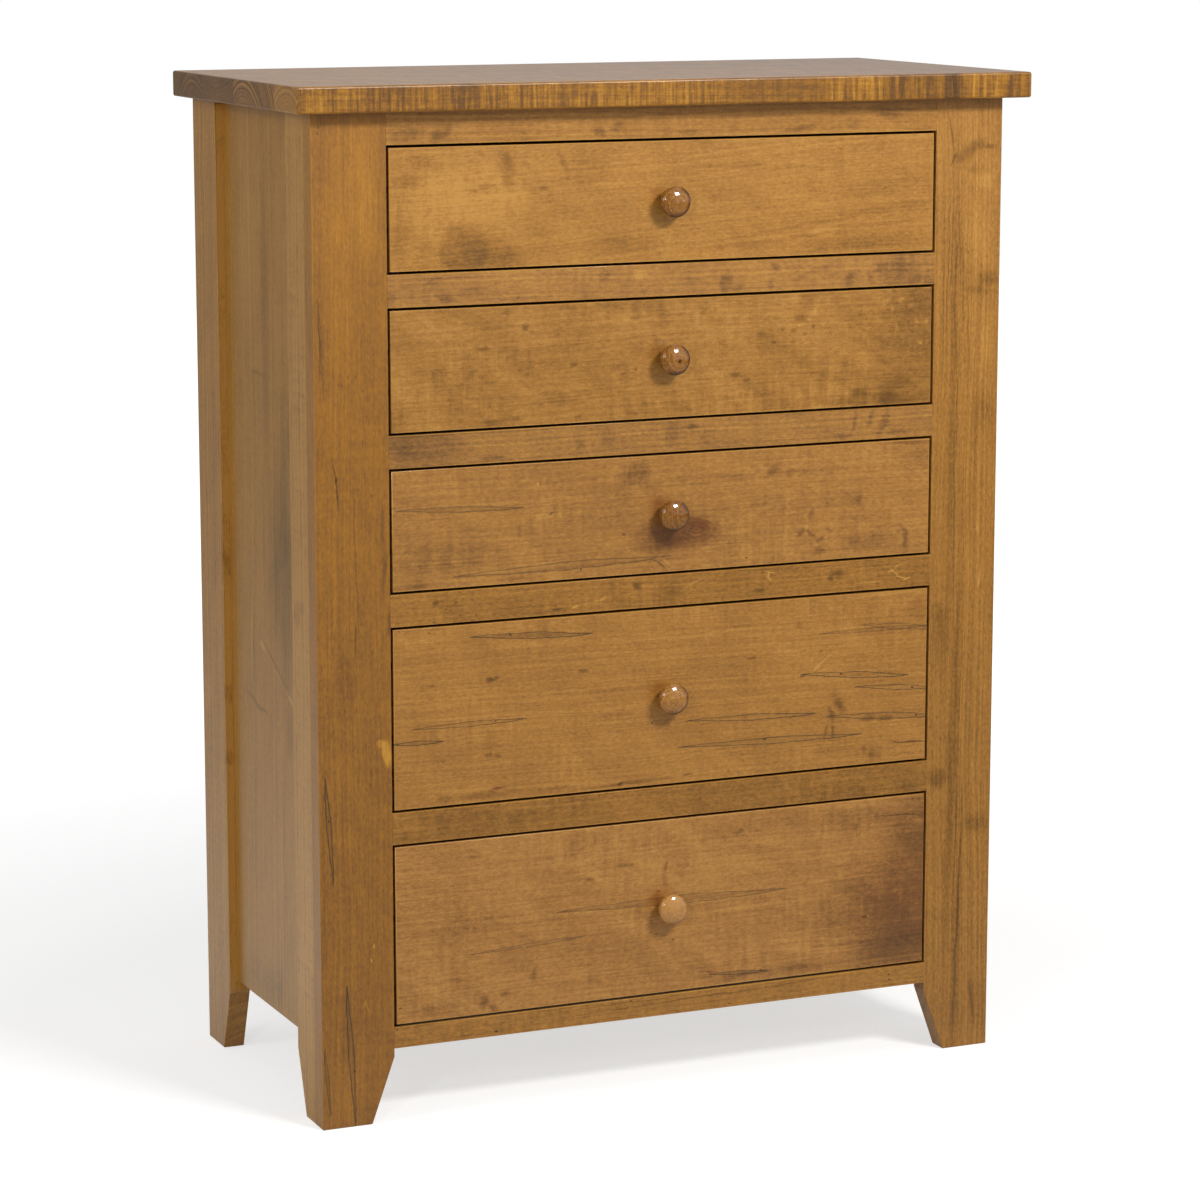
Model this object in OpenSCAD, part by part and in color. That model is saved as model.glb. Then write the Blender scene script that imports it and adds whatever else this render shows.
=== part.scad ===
// Tall chest of five inset drawers in solid maple.
// X runs along the front, +Y goes to the back and +Z goes up. The origin is on
// the floor, under the middle of the top board.

/* [Case] */
// Width of the case over the front stiles
case_w = 925; // [700:5:1200]
// Depth of the case from the front of the stiles to the back of the rear legs
case_d = 445; // [380:5:600]
// Height of the bottom rail above the floor
clearance_h = 93; // [85:1:160]
// Side overhang of the top board
top_side_overhang = 26; // [5:1:50]
// Front overhang of the top board
top_front_overhang = 28; // [5:1:50]
// Back overhang of the top board
top_back_overhang = 0; // [0:1:30]
// Thickness of the top board
top_t = 32; // [24:1:45]
// Radius of the eased edges of the top board
top_edge_r = 3; // [1:0.5:8]

/* [Legs] */
// Width of a front stile
stile_w = 94; // [70:1:120]
// Width of a front stile at the floor
stile_foot_w = 64.5; // [35:0.5:69]
// Thickness of the front stiles and of all the front rails
stile_t = 27; // [20:1:36]
// Side width of a leg, with the stile on the front ones
leg_d = 90; // [70:1:120]
// Side width of a leg at the floor
leg_foot_d = 61; // [40:1:69]
// Thickness of the side boards of the legs
leg_t = 27; // [22:1:36]
// Height at which the foot taper ends
taper_h = 82; // [40:1:84]

/* [Side panels] */
// Thickness of a side panel
panel_t = 17; // [14:1:20]
// Height of the bottom edge of a side panel
panel_z = 98; // [92:1:150]
// Thickness of the tongues along the edges of a side panel
panel_tongue_t = 9; // [5:0.5:11]
// Depth of the tongues in their grooves
panel_tongue_l = 8; // [4:0.5:14]

/* [Front rails] */
// Height of the three small drawer openings
small_opening_h = 153; // [110:1:220]
// Height of the two large drawer openings
large_opening_h = 229.5; // [150:0.5:300]
// Height of the rails between the drawers
rail_h = 40; // [34:1:60]
// Height of the top rail
top_rail_h = 40; // [32:1:70]
// Height of the bottom rail
bottom_rail_h = 27; // [24:1:60]
// Length of the rail tenons
tenon_l = 20; // [10:1:30]
// Thickness of the rail tenons
tenon_t = 9; // [6:0.5:12]
// Shoulder above and below a rail tenon
tenon_shoulder = 5; // [3:0.5:8]

/* [Back] */
// Thickness of the plywood back panel
back_panel_t = 6; // [4:0.5:9]
// Width of the rebates in the rear legs that hold the back panel
back_rebate_w = 12; // [10:0.5:16]
// Height of the bottom edge of the back panel
back_panel_z = 103; // [95:1:110]
// Thickness of the back rails
back_rail_t = 20; // [18:1:26]
// Height of the back rails
back_rail_h = 60; // [45:1:90]
// Length of the back rail tenons
back_tenon_l = 15; // [8:1:18]

/* [Runners] */
// Thickness of the bearers that the drawers slide on
bearer_t = 20; // [16:1:24]
// How far a bearer reaches in under a drawer
bearer_reach = 24; // [18:1:50]
// Width of the side guides
guide_w = 19; // [10:1:26]
// Height of the side guides
guide_h = 22; // [12:1:40]
// Thickness of the bearer tongues in the front rails
bearer_tongue_t = 8; // [5:0.5:10]
// Length of the bearer tongues
bearer_tongue_l = 8; // [4:0.5:12]
// Length of a drawer stop block
stop_l = 15; // [8:1:30]
// Width of a drawer stop block
stop_w = 14; // [8:1:16]
// Height of a drawer stop block
stop_h = 12; // [6:1:20]
// Space between the stop blocks and the back rails
stop_setback = 3.7; // [0:0.1:20]

/* [Drawers] */
// Gap around the inset drawer fronts
front_gap = 3.2; // [1.5:0.1:4]
// Thickness of a drawer front
front_t = 20; // [18:0.5:25]
// Thickness of a drawer side
side_t = 12; // [9:0.5:16]
// Thickness of a drawer back
drawer_back_t = 12; // [9:0.5:16]
// Thickness of a drawer bottom
bottom_t = 6; // [4:0.5:9]
// Height of the bottom groove above the lower edge of the sides
bottom_groove_z = 8; // [6:0.5:12]
// Depth of the bottom grooves
bottom_groove_l = 6; // [3:0.5:7]
// Drop of the drawer sides below the top of the front
side_drop = 1; // [0:0.5:6]
// Drop of the drawer back below the top of the sides
back_drop = 6; // [3:0.5:20]
// Wood left in front of the half-blind dovetails
dovetail_lap = 6; // [4:0.5:9]
// Spacing of the dovetails, before it is evened out
dovetail_pitch = 45; // [30:1:60]
// Width of a dovetail pin at its narrow end
pin_w = 7; // [4:0.5:12]
// Slope of the dovetails, as one in this many
dovetail_slope = 7; // [5:0.5:9]

/* [Knobs] */
// Diameter of the knob head
knob_d = 38.5; // [30:0.5:50]
// Diameter of the knob head at the back
knob_back_d = 36.5; // [28:0.5:48]
// Length of the knob head between its two roundings
knob_head_l = 7; // [5:0.5:9]
// Reach of the knob from the drawer front
knob_l = 28; // [26:0.5:36]
// Diameter of the knob base against the drawer front
knob_base_d = 23; // [18:0.5:26]
// Diameter of the knob at its waist
knob_waist_d = 17; // [13:0.5:18]
// Rise of the domed face of the knob inside its rim
knob_dome = 2.5; // [1:0.5:4]
// Radius of the rounded rim of the knob
knob_rim_r = 4.5; // [3:0.5:5]
// Radius of the rounding at the back of the knob head
knob_back_r = 6.5; // [5:0.5:7]
// Diameter of the turned tenon in the drawer front
knob_tenon_d = 11; // [8:0.5:12]

/* [Screws] */
// Length of the back panel screws
back_screw_l = 22; // [16:1:23]
// Shank diameter of the screws
screw_d = 4; // [3:0.5:5]
// Head diameter of the screws
screw_head_d = 8; // [6.5:0.5:9]
// Length of the top board screws
top_screw_l = 45; // [40:1:52]
// Depth of the counterbores under the top board screws
counterbore_l = 12; // [8:1:18]
// Width of a kicker under the top board
kicker_w = 34; // [24:1:60]

/* [Fits] */
// Glue clearance on each face of a tongue, tenon or dovetail
glue_gap = 0.1; // [0.05:0.05:0.3]
// Running clearance between a drawer and its bearers and stops
run_gap = 0.3; // [0.2:0.05:0.8]
// Running clearance between a drawer and its side guides
guide_gap = 0.6; // [0.3:0.1:1.2]

/* [Hidden] */
$fn = 64;

// Past this much, a cut goes through the face that it starts from
over = 1;
drawer_count = 5;
small_drawers = 3;

// Drawers are counted from the top. Openings are worked out from the bottom rail up.
function opening_h(n) = n <= small_drawers ? small_opening_h : large_opening_h;
function opening_z(n) = n == drawer_count
    ? clearance_h + bottom_rail_h
    : opening_z(n + 1) + opening_h(n + 1) + rail_h;
case_h = opening_z(1) + opening_h(1) + top_rail_h;

top_w = case_w + 2 * top_side_overhang;
top_d = case_d + top_front_overhang + top_back_overhang;
back_y = top_d / 2 - top_back_overhang;
front_y = back_y - case_d;
rail_back_y = front_y + stile_t;
opening_w = case_w - 2 * stile_w;
inner_w = case_w - 2 * leg_t;
back_rail_back_y = back_y - back_panel_t;
back_rail_front_y = back_rail_back_y - back_rail_t;

// A side panel runs from the front leg to the rear leg, flush with them inside.
panel_front_y = front_y + leg_d;
panel_back_y = back_y - leg_d;
panel_tongue_x = -inner_w / 2 - (panel_t + panel_tongue_t) / 2;

// A drawer stands a running gap above its bearers, with its front in the gap.
function drawer_z(n) = opening_z(n) + front_gap;
function drawer_h(n) = opening_h(n) - 2 * front_gap;
function bearer_z(n) = drawer_z(n) - run_gap - bearer_t;
drawer_w = opening_w - 2 * front_gap;
drawer_back_y = back_rail_front_y - stop_setback - stop_l - run_gap;
drawer_d = drawer_back_y - front_y;
side_front_y = front_y + dovetail_lap;
front_tail_l = front_t - dovetail_lap;
back_floor = bottom_groove_z + bottom_t + 2 * glue_gap;

// Rails of the front, as their lowest point and their height
rail_top = [case_h - top_rail_h, top_rail_h];
rail_bottom = [clearance_h, bottom_rail_h];
function rail_divider(n) = [opening_z(n) - rail_h, rail_h];
rails = [rail_top, for (n = [1 : drawer_count - 1]) rail_divider(n), rail_bottom];
back_rails_z = [case_h - back_rail_h, clearance_h];

// Screw places on the back panel and in the kickers
back_screw_x = inner_w / 2 + back_rebate_w / 2;
back_screws_across = 5;
back_screws_up = 5;
back_screw_step_x = (inner_w - 2 * back_rail_h) / (back_screws_across - 1);
back_screw_low_z = clearance_h + 2 * back_rail_h;
back_screw_step_z = (case_h - 2 * back_rail_h - back_screw_low_z) / (back_screws_up - 1);
kicker_x = drawer_w / 2 - bearer_reach + kicker_w / 2;
kicker_d = back_rail_front_y - rail_back_y;
top_screws = 3;
top_screw_step = kicker_d / top_screws;
screw_head_h = 2.5;
screw_tip_l = 3;

// Outline of an upright, with its outer edge on the axis and its foot tapered in
module upright_outline(width, foot) {
    polygon([[0, 0], [foot, 0], [width, taper_h], [width, case_h], [0, case_h]]);
}

// Rectangle about the origin with rounded corners, all points worked out from arcs
module eased_outline(width, height, radius) {
    arc_step = 22.5;
    polygon([for (side = [0 : 3], turn = [0 : arc_step : 90])
        let (sx = (side == 0 || side == 3) ? 1 : -1, sy = side < 2 ? 1 : -1)
        [sx * (width / 2 - radius) + radius * cos(side * 90 + turn),
         sy * (height / 2 - radius) + radius * sin(side * 90 + turn)]]);
}

// Countersunk or flat-headed wood screw, head at the origin and point along +Z
module wood_screw(length, countersunk, gap) {
    flat_h = countersunk ? 0 : screw_head_h;
    rotate_extrude()
        polygon([[0, -gap], [screw_head_d / 2 + gap, -gap],
            [screw_head_d / 2 + gap, flat_h], [screw_d / 2 + gap, screw_head_h],
            [screw_d / 2 + gap, length - screw_tip_l + gap], [0, length + gap]]);
}

module place_back_screws() {
    for (z = [back_rails_z[0], back_rails_z[1]], i = [0 : back_screws_across - 1])
        translate([(i - (back_screws_across - 1) / 2) * back_screw_step_x, back_y,
            z + back_rail_h / 2])
            rotate([90, 0, 0]) children();
    for (side = [-1, 1], i = [0 : back_screws_up - 1])
        translate([side * back_screw_x, back_y, back_screw_low_z + i * back_screw_step_z])
            rotate([90, 0, 0]) children();
}

module place_top_screws() {
    for (side = [-1, 1], i = [0 : top_screws - 1])
        translate([side * kicker_x, rail_back_y + (i + 0.5) * top_screw_step,
            case_h - top_rail_h + counterbore_l])
            children();
}

// Top board, its four edges and its corners eased
module top_board() {
    color("burlywood")
        difference() {
            translate([0, (back_y + top_back_overhang) - top_d / 2, case_h + top_t / 2])
                intersection() {
                    rotate([90, 0, 90]) linear_extrude(top_w, center = true)
                        eased_outline(top_d, top_t, top_edge_r);
                    rotate([90, 0, 0]) linear_extrude(top_d, center = true)
                        eased_outline(top_w, top_t, top_edge_r);
                    linear_extrude(top_t, center = true)
                        eased_outline(top_w, top_d, top_edge_r);
                }
            place_top_screws() wood_screw(top_screw_l, false, glue_gap);
        }
}

// Front stile, with a mortise for each of the front rails
module front_stile() {
    color("peru")
        difference() {
            translate([-case_w / 2, rail_back_y, 0]) rotate([90, 0, 0])
                linear_extrude(stile_t) upright_outline(stile_w, stile_foot_w);
            for (rail = rails)
                translate([-opening_w / 2 - tenon_l - glue_gap,
                    front_y + (stile_t - tenon_t) / 2 - glue_gap,
                    rail[0] + tenon_shoulder - glue_gap])
                    cube([tenon_l + glue_gap + over, tenon_t + 2 * glue_gap,
                        rail[1] - 2 * tenon_shoulder + 2 * glue_gap]);
        }
}

// Groove for a tongue of the side panel, from the panel's bottom edge to the top
module panel_groove(y, length) {
    translate([panel_tongue_x - glue_gap, y, panel_z - glue_gap])
        cube([panel_tongue_t + 2 * glue_gap, length, case_h - panel_z + glue_gap + over]);
}

// Side board of a front leg, glued behind the stile
module front_leg() {
    color("peru")
        difference() {
            translate([-case_w / 2, front_y, 0]) rotate([90, 0, 90])
                linear_extrude(leg_t) upright_outline(leg_d, leg_foot_d);
            translate([-case_w / 2 - over, front_y - over, -over])
                cube([leg_t + 2 * over, stile_t + over, case_h + 2 * over]);
            panel_groove(panel_front_y - panel_tongue_l - glue_gap, panel_tongue_l + glue_gap + over);
        }
}

// Rear leg, rebated for the back panel and mortised for the back rails
module rear_leg() {
    color("peru")
        difference() {
            translate([-case_w / 2, back_y, 0]) mirror([0, 1, 0]) rotate([90, 0, 90])
                linear_extrude(leg_t) upright_outline(leg_d, leg_foot_d);
            panel_groove(panel_back_y - over, panel_tongue_l + glue_gap + over);
            translate([-inner_w / 2 - back_rebate_w, back_rail_back_y, back_panel_z - glue_gap])
                cube([back_rebate_w + over, back_panel_t + over, case_h - back_panel_z + glue_gap + over]);
            for (z = back_rails_z)
                translate([-inner_w / 2 - back_tenon_l - glue_gap,
                    back_rail_front_y + (back_rail_t - tenon_t) / 2 - glue_gap,
                    z + tenon_shoulder - glue_gap])
                    cube([back_tenon_l + glue_gap + over, tenon_t + 2 * glue_gap,
                        back_rail_h - 2 * tenon_shoulder + 2 * glue_gap]);
            place_back_screws() wood_screw(back_screw_l, true, glue_gap);
        }
}

// Side panel, tongued into both legs
module side_panel() {
    color("tan")
        union() {
            translate([-inner_w / 2 - panel_t, panel_front_y, panel_z])
                cube([panel_t, panel_back_y - panel_front_y, case_h - panel_z]);
            translate([panel_tongue_x, panel_front_y - panel_tongue_l, panel_z])
                cube([panel_tongue_t, panel_back_y - panel_front_y + 2 * panel_tongue_l,
                    case_h - panel_z]);
        }
}

// Groove along the back of a front rail for the bearer tongues of drawer n
module bearer_groove(n) {
    translate([-opening_w / 2 - over, rail_back_y - bearer_tongue_l - glue_gap,
        bearer_z(n) - glue_gap])
        cube([opening_w + 2 * over, bearer_tongue_l + glue_gap + over,
            bearer_tongue_t + 2 * glue_gap]);
}

// Front rail between the stiles, with a tenon on each end
module front_rail(rail) {
    translate([-opening_w / 2, front_y, rail[0]]) cube([opening_w, stile_t, rail[1]]);
    translate([-opening_w / 2 - tenon_l, front_y + (stile_t - tenon_t) / 2,
        rail[0] + tenon_shoulder])
        cube([opening_w + 2 * tenon_l, tenon_t, rail[1] - 2 * tenon_shoulder]);
}

module front_rail_top() {
    color("peru") front_rail(rail_top);
}

module front_rail_bottom() {
    color("peru")
        difference() {
            front_rail(rail_bottom);
            bearer_groove(drawer_count);
        }
}

// Divider below drawer n, which carries the bearers of the drawer above it
module drawer_divider(n) {
    color("peru")
        difference() {
            front_rail(rail_divider(n));
            bearer_groove(n);
        }
}

// Back rail between the rear legs, with a tenon on each end
module back_rail(z) {
    color("wheat")
        difference() {
            union() {
                translate([-inner_w / 2, back_rail_front_y, z])
                    cube([inner_w, back_rail_t, back_rail_h]);
                translate([-inner_w / 2 - back_tenon_l,
                    back_rail_front_y + (back_rail_t - tenon_t) / 2, z + tenon_shoulder])
                    cube([inner_w + 2 * back_tenon_l, tenon_t, back_rail_h - 2 * tenon_shoulder]);
            }
            place_back_screws() wood_screw(back_screw_l, true, glue_gap);
        }
}

// Plywood back, in the rebates of the rear legs and flat on the back rails
module back_panel() {
    color("wheat")
        difference() {
            translate([-inner_w / 2 - back_rebate_w + glue_gap, back_rail_back_y, back_panel_z])
                cube([inner_w + 2 * back_rebate_w - 2 * glue_gap, back_panel_t,
                    case_h - back_panel_z]);
            place_back_screws() wood_screw(back_screw_l, true, glue_gap);
        }
}

// Cross-section of the left runner of drawer n, seen from the front: a bearer
// under the drawer side, a guide beside it and, where there is a drawer below,
// a strip that keeps that drawer from tipping
module runner_outline(n) {
    bearer_x = -drawer_w / 2 + bearer_reach;
    translate([-inner_w / 2, bearer_z(n)])
        square([inner_w / 2 + bearer_x, bearer_t]);
    translate([-drawer_w / 2 - guide_gap - guide_w, bearer_z(n) + bearer_t])
        square([guide_w, guide_h]);
    if (n < drawer_count)
        translate([-drawer_w / 2, opening_z(n) - rail_h])
            square([bearer_reach, bearer_z(n) - opening_z(n) + rail_h]);
}

// Pair of runners for drawer n, tongued into the rail in front of them
module drawer_runners(n) {
    color("wheat")
        for (flip = [0, 1])
            mirror([flip, 0, 0]) {
                translate([0, back_rail_front_y, 0]) rotate([90, 0, 0])
                    linear_extrude(back_rail_front_y - rail_back_y) runner_outline(n);
                translate([-opening_w / 2 + glue_gap, rail_back_y - bearer_tongue_l, bearer_z(n)])
                    cube([opening_w / 2 - glue_gap - drawer_w / 2 + bearer_reach,
                        bearer_tongue_l + over, bearer_tongue_t]);
            }
}

// Pair of kickers above the top drawer, screwed up into the top board
module top_kickers() {
    color("wheat")
        difference() {
            for (side = [-1, 1])
                translate([side * kicker_x - kicker_w / 2, rail_back_y, case_h - top_rail_h])
                    cube([kicker_w, kicker_d, top_rail_h]);
            place_top_screws() wood_screw(top_screw_l, false, glue_gap);
            place_top_screws() mirror([0, 0, 1])
                cylinder(d = screw_head_d + 2, h = counterbore_l + over);
        }
}

// Blocks on the bearers that stop each drawer with its front flush
module drawer_stops() {
    color("wheat")
        for (n = [1 : drawer_count], side = [-1, 1])
            translate([side * (drawer_w - stop_w) / 2 - stop_w / 2, drawer_back_y + run_gap,
                bearer_z(n) + bearer_t])
                cube([stop_w, stop_l, stop_h]);
}

module back_panel_screws() {
    color("silver") place_back_screws() wood_screw(back_screw_l, true, 0);
}

module top_board_screws() {
    color("silver") place_top_screws() wood_screw(top_screw_l, false, 0);
}

// Row of dovetails over a height, narrow on the axis and wide at the given length,
// each face moved out by the gap
module tails(height, length, gap) {
    count = max(2, round(height / dovetail_pitch));
    pitch = height / count;
    wide = (pitch - pin_w) / 2 + gap;
    narrow = wide - length / dovetail_slope;
    for (i = [0 : count - 1])
        translate([0, (i + 0.5) * pitch])
            polygon([[-over, -narrow], [0, -narrow], [length + gap, -wide],
                [length + gap, wide], [0, narrow], [-over, narrow]]);
}

// Front board with half-blind sockets, a groove for the bottom and the knob's bore
module drawer_front(n) {
    height = drawer_h(n);
    side_h = height - side_drop;
    color("peru")
        difference() {
            translate([-drawer_w / 2, front_y, drawer_z(n)])
                cube([drawer_w, front_t, height]);
            for (flip = [0, 1])
                mirror([flip, 0, 0])
                    translate([-drawer_w / 2 - over, front_y + front_t, drawer_z(n)])
                    rotate([90, 0, 90]) linear_extrude(side_t + glue_gap + over)
                    mirror([1, 0]) tails(side_h, front_tail_l, glue_gap);
            translate([-drawer_w / 2 + side_t - bottom_groove_l, front_y + front_t - bottom_groove_l,
                drawer_z(n) + bottom_groove_z])
                cube([drawer_w - 2 * side_t + 2 * bottom_groove_l, bottom_groove_l + over,
                    bottom_t + 2 * glue_gap]);
            translate([0, front_y - over, drawer_z(n) + height / 2]) rotate([-90, 0, 0])
                cylinder(d = knob_tenon_d + 2 * glue_gap, h = front_t + 2 * over);
        }
}

// Side board: tails on both ends and a groove for the bottom
module drawer_side(n) {
    side_h = drawer_h(n) - side_drop;
    back_h = side_h - back_drop - back_floor;
    back_joint_y = drawer_back_y - drawer_back_t;
    color("wheat")
        difference() {
            translate([-drawer_w / 2, 0, drawer_z(n)]) rotate([90, 0, 90]) linear_extrude(side_t) {
                difference() {
                    translate([front_y + front_t, 0]) square([drawer_d - front_t, side_h]);
                    translate([back_joint_y, back_floor]) difference() {
                        square([drawer_back_t + over, back_h]);
                        tails(back_h, drawer_back_t + over, 0);
                    }
                }
                translate([front_y + front_t, 0]) mirror([1, 0]) tails(side_h, front_tail_l, 0);
            }
            translate([-drawer_w / 2 + side_t - bottom_groove_l, side_front_y - over,
                drawer_z(n) + bottom_groove_z])
                cube([bottom_groove_l + over, drawer_d, bottom_t + 2 * glue_gap]);
        }
}

// Back board, dovetailed through both sides and standing on the bottom
module drawer_back(n) {
    side_h = drawer_h(n) - side_drop;
    back_h = side_h - back_drop - back_floor;
    color("wheat")
        translate([-drawer_w / 2, drawer_back_y - drawer_back_t, drawer_z(n) + back_floor])
            difference() {
                cube([drawer_w, drawer_back_t, back_h]);
                for (x = [-over, drawer_w - side_t])
                    translate([x, 0, 0]) rotate([90, 0, 90]) linear_extrude(side_t + over)
                        tails(back_h, drawer_back_t + over, glue_gap);
            }
}

// Bottom board, let into the front and the sides and running out under the back
module drawer_bottom(n) {
    reach = bottom_groove_l - glue_gap;
    color("wheat")
        translate([-drawer_w / 2 + side_t - reach, front_y + front_t - reach,
            drawer_z(n) + bottom_groove_z + glue_gap])
            cube([drawer_w - 2 * side_t + 2 * reach, drawer_d - front_t + reach, bottom_t]);
}

// Turned knob: a waisted stem, a thick head that is rounded at the back and at
// the rim and runs on into the larger arc of its face, and a tenon for the bore
module drawer_knob(n) {
    head_h = knob_dome + knob_rim_r;
    rim_x = knob_d / 2 - knob_rim_r;
    rim_z = knob_l - head_h;
    back_x = knob_back_d / 2 - knob_back_r;
    back_z = rim_z - knob_head_l;
    face_r = (pow(rim_x, 2) + pow(head_h, 2) - pow(knob_rim_r, 2)) / (2 * knob_dome);
    face_turn = asin(rim_x / (face_r - knob_rim_r));
    apart = norm([rim_x - back_x, knob_head_l]);
    side_turn = asin((knob_back_r - knob_rim_r) / apart) - atan((rim_x - back_x) / knob_head_l);
    under_turn = 80;
    waist_z = knob_l / 5;
    under_x = back_x + knob_back_r * cos(under_turn);
    under_z = back_z - knob_back_r * sin(under_turn);
    step = 0.125;
    stem = [for (t = [0 : step : 1])
        [knob_waist_d / 2 + (knob_base_d - knob_waist_d) / 2 * pow(1 - t, 2), waist_z * t]];
    flare = [for (t = [step : step : 1 - step])
        [knob_waist_d / 2 + (under_x - knob_waist_d / 2) * (1 - cos(90 * t)),
         waist_z + (under_z - waist_z) * sin(90 * t)]];
    back = [for (t = [0 : step : 1])
        let (turn = -under_turn + t * (under_turn + side_turn))
        [back_x + knob_back_r * cos(turn), back_z + knob_back_r * sin(turn)]];
    rim = [for (t = [0 : step : 1])
        let (turn = side_turn + t * (90 - face_turn - side_turn))
        [rim_x + knob_rim_r * cos(turn), rim_z + knob_rim_r * sin(turn)]];
    face = [for (t = [step : step : 1])
        [face_r * sin(face_turn * (1 - t)), knob_l - face_r + face_r * cos(face_turn * (1 - t))]];
    tenon = [[0, -front_t], [knob_tenon_d / 2, -front_t], [knob_tenon_d / 2, 0]];
    color("saddlebrown")
        translate([0, front_y, drawer_z(n) + drawer_h(n) / 2]) rotate([90, 0, 0])
            rotate_extrude() polygon(concat(tenon, stem, flare, back, rim, face));
}

top_board();
front_stile();  // front_stile_left
mirror([1, 0, 0]) front_stile();  // front_stile_right
front_leg();  // front_leg_left
mirror([1, 0, 0]) front_leg();  // front_leg_right
rear_leg();  // rear_leg_left
mirror([1, 0, 0]) rear_leg();  // rear_leg_right
side_panel();  // side_panel_left
mirror([1, 0, 0]) side_panel();  // side_panel_right
front_rail_top();
drawer_divider(1);  // drawer_divider_1
drawer_divider(2);  // drawer_divider_2
drawer_divider(3);  // drawer_divider_3
drawer_divider(4);  // drawer_divider_4
front_rail_bottom();
back_rail(back_rails_z[0]);  // back_rail_top
back_rail(back_rails_z[1]);  // back_rail_bottom
back_panel();
drawer_runners(1);  // drawer_runners_1
drawer_runners(2);  // drawer_runners_2
drawer_runners(3);  // drawer_runners_3
drawer_runners(4);  // drawer_runners_4
drawer_runners(5);  // drawer_runners_5
top_kickers();
drawer_stops();
back_panel_screws();
top_board_screws();
drawer_front(1);  // drawer_1_front
drawer_side(1);  // drawer_1_side_left
mirror([1, 0, 0]) drawer_side(1);  // drawer_1_side_right
drawer_back(1);  // drawer_1_back
drawer_bottom(1);  // drawer_1_bottom
drawer_knob(1);  // drawer_1_knob
drawer_front(2);  // drawer_2_front
drawer_side(2);  // drawer_2_side_left
mirror([1, 0, 0]) drawer_side(2);  // drawer_2_side_right
drawer_back(2);  // drawer_2_back
drawer_bottom(2);  // drawer_2_bottom
drawer_knob(2);  // drawer_2_knob
drawer_front(3);  // drawer_3_front
drawer_side(3);  // drawer_3_side_left
mirror([1, 0, 0]) drawer_side(3);  // drawer_3_side_right
drawer_back(3);  // drawer_3_back
drawer_bottom(3);  // drawer_3_bottom
drawer_knob(3);  // drawer_3_knob
drawer_front(4);  // drawer_4_front
drawer_side(4);  // drawer_4_side_left
mirror([1, 0, 0]) drawer_side(4);  // drawer_4_side_right
drawer_back(4);  // drawer_4_back
drawer_bottom(4);  // drawer_4_bottom
drawer_knob(4);  // drawer_4_knob
drawer_front(5);  // drawer_5_front
drawer_side(5);  // drawer_5_side_left
mirror([1, 0, 0]) drawer_side(5);  // drawer_5_side_right
drawer_back(5);  // drawer_5_back
drawer_bottom(5);  // drawer_5_bottom
drawer_knob(5);  // drawer_5_knob
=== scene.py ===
from math import radians

import bmesh
import bpy
import numpy as np
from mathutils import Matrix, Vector


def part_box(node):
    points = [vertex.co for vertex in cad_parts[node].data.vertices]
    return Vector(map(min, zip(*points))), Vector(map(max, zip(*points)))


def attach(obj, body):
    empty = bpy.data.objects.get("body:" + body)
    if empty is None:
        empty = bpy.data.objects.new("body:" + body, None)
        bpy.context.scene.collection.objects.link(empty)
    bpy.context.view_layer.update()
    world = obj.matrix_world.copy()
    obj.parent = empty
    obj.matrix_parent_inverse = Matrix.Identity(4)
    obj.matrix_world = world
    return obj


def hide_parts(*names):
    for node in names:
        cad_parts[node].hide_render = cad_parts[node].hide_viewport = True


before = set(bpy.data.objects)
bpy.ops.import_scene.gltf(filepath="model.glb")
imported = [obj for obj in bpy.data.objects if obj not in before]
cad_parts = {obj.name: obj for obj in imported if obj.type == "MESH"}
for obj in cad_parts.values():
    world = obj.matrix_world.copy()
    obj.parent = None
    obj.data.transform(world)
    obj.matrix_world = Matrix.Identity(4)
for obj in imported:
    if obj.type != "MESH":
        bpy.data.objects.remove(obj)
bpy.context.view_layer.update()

# The room: a white floor that keeps the chest's shadow, in a white surround. A softbox stands at
# the upper right of the front, a weaker one at its left, and one lights the left side. The camera
# stands where the photograph was taken from.
scene = bpy.context.scene
scene.view_settings.view_transform = "Standard"
camera = bpy.data.objects.new("camera", bpy.data.cameras.new("camera"))
camera.location = (-2.0075, -4.5591, 1.4919)
camera.rotation_euler = (radians(79.762), 0, radians(-23.756))
camera.data.lens = 117.56
camera.data.sensor_width = 36
scene.collection.objects.link(camera)
scene.camera = camera


def softbox(name, place, aim, size, power, tint):
    """A flat lamp of a width and a height in metres, at one point and facing another."""
    lamp = bpy.data.lights.new(name, "AREA")
    lamp.shape = "RECTANGLE"
    lamp.size, lamp.size_y = size
    lamp.energy = power
    lamp.color = tint
    stand = bpy.data.objects.new(name, lamp)
    stand.location = place
    stand.rotation_euler = (Vector(aim) - Vector(place)).to_track_quat("-Z", "Y").to_euler()
    scene.collection.objects.link(stand)


softbox("key_softbox", (1.0, -2.75, 2.8), (0, -0.2, 0.9), (0.95, 0.6), 84, (1, 0.985, 0.96))
softbox("front_softbox", (-2.9, -3.4, 2.0), (0, -0.2, 0.65), (0.35, 0.75), 27, (1, 0.99, 0.97))
softbox("side_softbox", (-3.2, -0.6, 2.2), (-0.46, 0, 0.6), (1.2, 1.6), 22, (0.97, 0.985, 1))


def add(tree, kind, *values, **settings):
    """Adds a node, sets its properties, and fills its inputs in order, each from a value or from
    another node's output; None leaves an input as it is. Gives back the node's first output."""
    node = tree.nodes.new("ShaderNode" + kind)
    for name, setting in settings.items():
        setattr(node, name, setting)
    for socket, value in zip([s for s in node.inputs if s.enabled], values):
        if isinstance(value, bpy.types.NodeSocket):
            tree.links.new(value, socket)
        elif value is not None:
            socket.default_value = value
    return next(s for s in node.outputs if s.enabled)


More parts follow.
